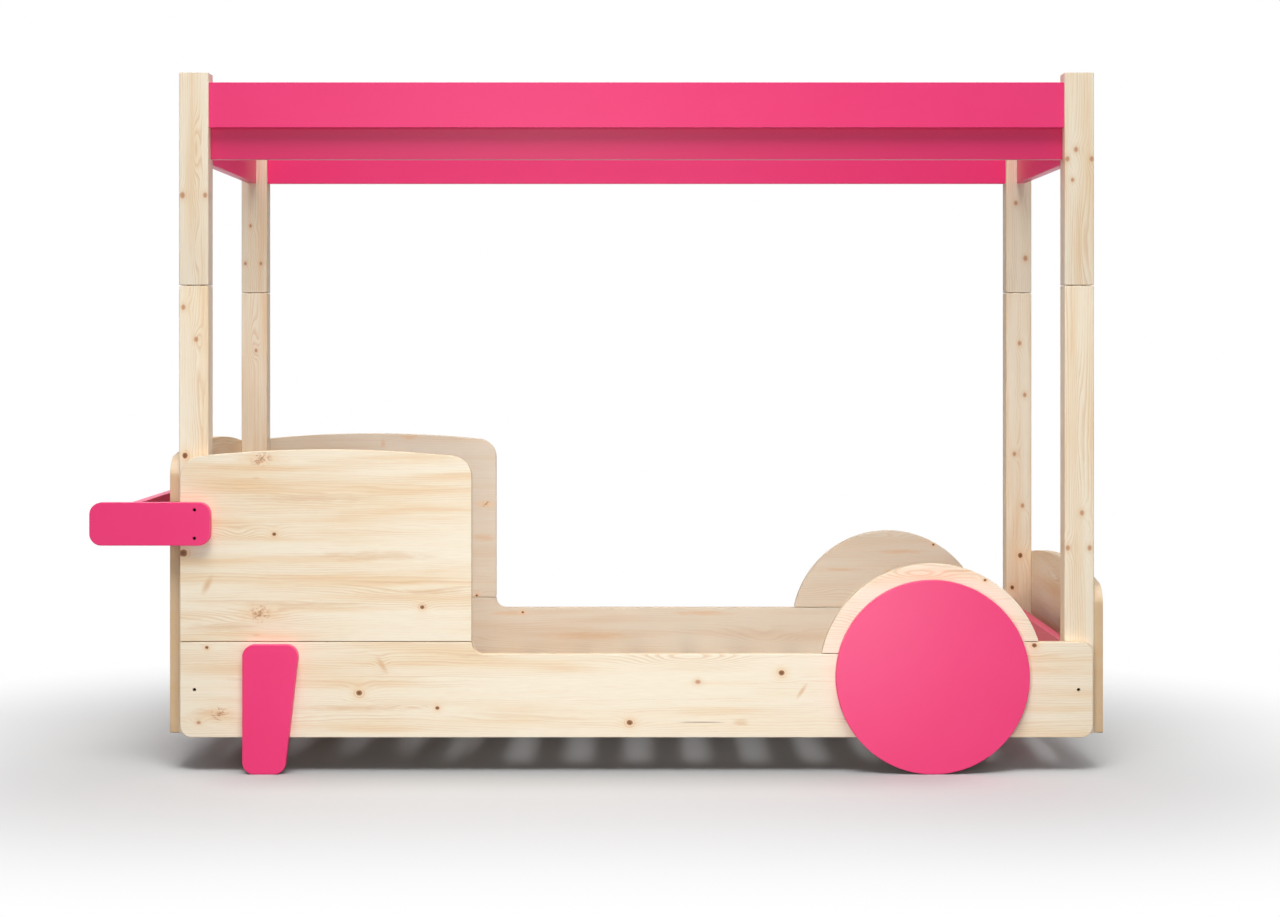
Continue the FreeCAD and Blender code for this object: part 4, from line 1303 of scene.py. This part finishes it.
class CARBED_OT_slatted_base(bpy.types.Operator):
    """Finish the slats and the ledgers that carry them"""

    bl_idname = "carbed.slatted_base"
    bl_label = "Slatted Base"
    bl_options = {"REGISTER", "UNDO"}

    def execute(self, context):
        settings = context.scene.car_bed
        for side, name in SIDES:
            node = "slat_ledger_" + name
            grain = Grain(LEDGER_SEED + side, tone=LEDGER_TONE)
            wood, _ = side_pine("Pine of the %s ledger" % name, node, settings.pine, grain)
            dress(node, wood)
        slats = sorted(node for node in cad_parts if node.startswith("slat_") and node[5:].isdigit())
        for number, node in enumerate(slats):
            low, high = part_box(node)
            middle = (low + high) / 2
            draw = np.random.default_rng(SLAT_DRAW + number)
            knots = [tuple(draw.uniform(*limits) for limits in SLAT_KNOTS) for _ in range(KNOTS_IN_SLAT)]
            grain = Grain(SLAT_SEED + SLAT_SEED_STEP * number, knots=knots, tone=draw.uniform(*SLAT_TONES),
                          ends=(low.y / MM, high.y / MM))
            dress(node, pine("Pine of slat %d" % (number + 1), settings.pine, grain,
                             (middle.x, 0, middle.z), ACROSS_BED, ALONG_BED))
        return {"FINISHED"}


class CARBED_OT_fasteners(bpy.types.Operator):
    """Make the screws with their cross recesses and finish the bolts, inserts and dowels"""

    bl_idname = "carbed.fasteners"
    bl_label = "Fasteners"
    bl_options = {"REGISTER", "UNDO"}

    def execute(self, context):
        settings = context.scene.car_bed
        sizes = settings.sizes
        look = settings.metal
        zinc = steel("Zinc plated steel", look.bright, look.dull, look.roughness)
        black = steel("Black finished steel", look.worn, look.black, look.roughness)
        for group in ("wheel", "leg", "ledger", "fascia"):
            node = group + "_screws"
            screws(node + "_recessed", node, lambda side: (0, side, 0), (zinc, "steel"), sizes)
        screws("slat_screws_recessed", "slat_screws", lambda side: (0, 0, -1), (zinc, "steel"), sizes)
        wood = beech(settings.dowel)
        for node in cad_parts:
            if node.endswith("_bolts"):
                dress(node, black)
            if node.endswith("_inserts"):
                dress(node, zinc)
            if node.endswith("_dowels"):
                dress(node, wood)
        return {"FINISHED"}


# ---------------------------------------------------------------- the stage

# The photograph, in its own pixels, and the eye that took it.
PHOTO_WIDTH, PHOTO_HEIGHT = 1280, 917
VANISHING_POINT = (636.5, 341.0)
FOCAL_PIXELS = 2300.0
EYE_DISTANCE = 5.8355
EYE_HEIGHT = 1.006
SENSOR_WIDTH = 36.0

# The floor, in metres. The rectangles are given by their centre and their half sides.
FLOOR_RINGS = (0.5, 2.0, 5.0, 14.0)
FLOOR_TURN = 96                     # points round each ring
SHADE = ((0, -0.15, 0), (0.78, 0.3, 0))
FADE = (0.1, 1.4)                   # the floor starts to fade and is plain white this far outside the shade
# Where the floor takes a painted shadow, a deeper grey under the bed.
UNDER_BED_PAINTED_SHADOW = ((0, 0, 0), (0.72, 0.45, 0))
PAINTED_SHADOW_REACH = 0.3                   # the painted shadow's deeper grey ends this far outside

# The lamps, in metres.
SPOT_PLACES = {"top": (-0.25, -4.55, 9.6), "left": (-3.2, -4.5, 9.3), "right": (3.0, -4.5, 9.3)}
SPOT_AIM = (-0.1, 0, 0.6)
SPOT_RADIUS = 3.0
SPOT_SPREAD = math.radians(44)
SUN_PLACE = (0, 3, 5)
SUN_SPREAD = math.radians(50)
LAMPS = {                           # place, target and side
    "front": ((-0.5, -5.85, 2.06), (0, -0.45, 1.2), 0.6),
    "low": ((-0.2, -3.3, 0.6), (-0.1, -0.45, 0.5), 0.6),
    "wheel": ((0.72, -3.05, 0.2), (0.6, -0.45, 0.3), 0.4),
}


class CARBED_OT_stage(bpy.types.Operator):
    """Make the floor, the light and the camera"""

    bl_idname = "carbed.stage"
    bl_label = "Stage"
    bl_options = {"REGISTER", "UNDO"}

    def execute(self, context):
        settings = context.scene.car_bed
        make_floor(settings.stage)
        make_world(settings.stage)
        make_lights(settings.stage)
        make_camera()
        bpy.context.scene.view_settings.view_transform = "Standard"
        return {"FINISHED"}


def make_floor(look):
    """A flat round floor. Where the camera sees it, it fades to plain white away from the bed.

    The fade and the painted shadow, a deeper grey under the bed, go by the distance from a rectangle: the
    length of what is left of each coordinate beyond the rectangle's half side.
    """
    turn = np.linspace(0, 2 * math.pi, FLOOR_TURN, endpoint=False)
    reach = np.array(FLOOR_RINGS)
    across, along = reach[:, None] * np.cos(turn), reach[:, None] * np.sin(turn)
    shape = Shape()
    grid = shape.add(np.stack(np.broadcast_arrays(across, along, 0.0), axis=-1))
    shape.skin(grid[::-1])
    shape.faces.append(grid[0].tolist())
    mesh = bpy.data.meshes.new("floor")
    mesh.from_pydata(np.vstack(shape.points).tolist(), [], shape.faces)
    floor = bpy.data.objects.new("floor", mesh)
    bpy.context.scene.collection.objects.link(floor)
    finish = Finish("Pale floor")
    spot = finish.node("ShaderNodeTexCoord").outputs["Object"]

    def beyond(centre, half):
        outside = finish.vector("ABSOLUTE", finish.vector("SUBTRACT", spot, centre))
        return finish.size(finish.vector("MAXIMUM", finish.vector("SUBTRACT", outside, half)))

    seen = finish.seen_or_mirrored()
    fading = seen * beyond(*SHADE).ramp(*FADE)
    # Painted shadow: the floor's colour deepens to a grey under the bed.
    near = beyond(*UNDER_BED_PAINTED_SHADOW).ramp(0.0, PAINTED_SHADOW_REACH)
    tone = finish.mix(seen, look.bounce, finish.mix(near, look.under, look.floor))
    plain = finish.node("ShaderNodeBsdfPrincipled", None, {
        "Base Color": tone, "Roughness": 1.0, "Specular IOR Level": 0.0})
    white = finish.node("ShaderNodeEmission", None, {"Color": (1, 1, 1, 1), "Strength": 1.0})
    both = finish.node("ShaderNodeMixShader", None, {
        0: fading, 1: plain.outputs[0], 2: white.outputs[0]})
    finish.node("ShaderNodeOutputMaterial", None, {"Surface": both.outputs[0]})
    mesh.materials.append(finish.material)


def make_world(look):
    """Even light from all round. Where the camera or a gloss sees the world itself, it is plain white."""
    world = bpy.data.worlds.new("Studio")
    bpy.context.scene.world = world
    world.use_nodes = True
    studio = Nodes(world.node_tree)
    even = studio.node("ShaderNodeBackground", None, {"Color": (1, 1, 1, 1), "Strength": look.ambient})
    white = studio.node("ShaderNodeBackground", None, {"Color": (1, 1, 1, 1), "Strength": 1.0})
    both = studio.node("ShaderNodeMixShader", None, {
        0: studio.seen_or_mirrored(), 1: even.outputs[0], 2: white.outputs[0]})
    studio.node("ShaderNodeOutputWorld", None, {"Surface": both.outputs[0]})


def lamp(name, kind, energy, place, target, **settings):
    """A lamp at a place, turned to its target."""
    data = bpy.data.lights.new(name, kind)
    data.energy = energy
    for key, value in settings.items():
        setattr(data, key, value)
    made = bpy.data.objects.new(name, data)
    made.location = place
    made.rotation_euler = (Vector(target) - Vector(place)).to_track_quat("-Z", "Y").to_euler()
    made.visible_camera = False
    bpy.context.scene.collection.objects.link(made)


def make_lights(look):
    """Three broad spots high in front, a broad sun behind, and three small lamps that the gloss shows."""
    for name, place in SPOT_PLACES.items():
        lamp(name + "_spot", "SPOT", getattr(look, name), place, SPOT_AIM,
             shadow_soft_size=SPOT_RADIUS, spot_size=SPOT_SPREAD, spot_blend=1.0)
    lamp("back_sun", "SUN", look.back, SUN_PLACE, (0, 0, 0), angle=SUN_SPREAD)
    for name, (place, target, size) in LAMPS.items():
        lamp(name + "_lamp", "AREA", getattr(look, name), place, target, size=size)


def make_camera():
    """The camera looks straight along +Y from in front of the bay's middle, as the photograph's did."""
    data = bpy.data.cameras.new("camera")
    data.sensor_width = SENSOR_WIDTH
    data.lens = FOCAL_PIXELS * SENSOR_WIDTH / PHOTO_WIDTH
    data.shift_x = (PHOTO_WIDTH / 2 - VANISHING_POINT[0]) / PHOTO_WIDTH
    data.shift_y = (VANISHING_POINT[1] - PHOTO_HEIGHT / 2) / PHOTO_WIDTH
    camera = bpy.data.objects.new("camera", data)
    camera.location = (BAY_MIDDLE, -EYE_DISTANCE, EYE_HEIGHT)
    camera.rotation_euler = (math.pi / 2, 0, 0)
    bpy.context.scene.collection.objects.link(camera)
    bpy.context.scene.camera = camera


# ---------------------------------------------------------------- the add-on

MAKERS = (
    CARBED_OT_side_rails, CARBED_OT_bonnet_panels, CARBED_OT_wheel_arches, CARBED_OT_rear_wheels,
    CARBED_OT_front_legs, CARBED_OT_bumper, CARBED_OT_end_boards, CARBED_OT_posts, CARBED_OT_canopy,
    CARBED_OT_slatted_base, CARBED_OT_fasteners, CARBED_OT_stage,
)


class CARBED_PT_makers(bpy.types.Panel):
    """Lists the bed's makers and their settings"""

    bl_idname = "CARBED_PT_makers"
    bl_label = "Child's Car Bed"
    bl_space_type = "VIEW_3D"
    bl_region_type = "UI"
    bl_category = "Car Bed"

    def draw(self, context):
        column = self.layout.column(align=True)
        for maker in MAKERS:
            column.operator(maker.bl_idname)
        settings = context.scene.car_bed
        for group in settings.bl_rna.properties.keys():
            if group in ("rna_type", "name"):
                continue
            box = self.layout.box()
            for key in getattr(settings, group).bl_rna.properties.keys():
                if key not in ("rna_type", "name"):
                    box.prop(getattr(settings, group), key)


GROUPS = (CarBedSizes, CarBedPine, CarBedLacquer, CarBedMetal, CarBedDowel, CarBedStage, CarBedSettings)


def register():
    """Adds the classes and the scene's settings."""
    for found in (*GROUPS, *MAKERS, CARBED_PT_makers):
        bpy.utils.register_class(found)
    bpy.types.Scene.car_bed = PointerProperty(type=CarBedSettings)


def unregister():
    """Takes them away again."""
    del bpy.types.Scene.car_bed
    for found in reversed((*GROUPS, *MAKERS, CARBED_PT_makers)):
        bpy.utils.unregister_class(found)


def main():
    """Makes the whole bed."""
    register()
    for maker in MAKERS:
        group, operator = maker.bl_idname.split(".")
        getattr(getattr(bpy.ops, group), operator)()


if __name__ == "__main__":
    main()
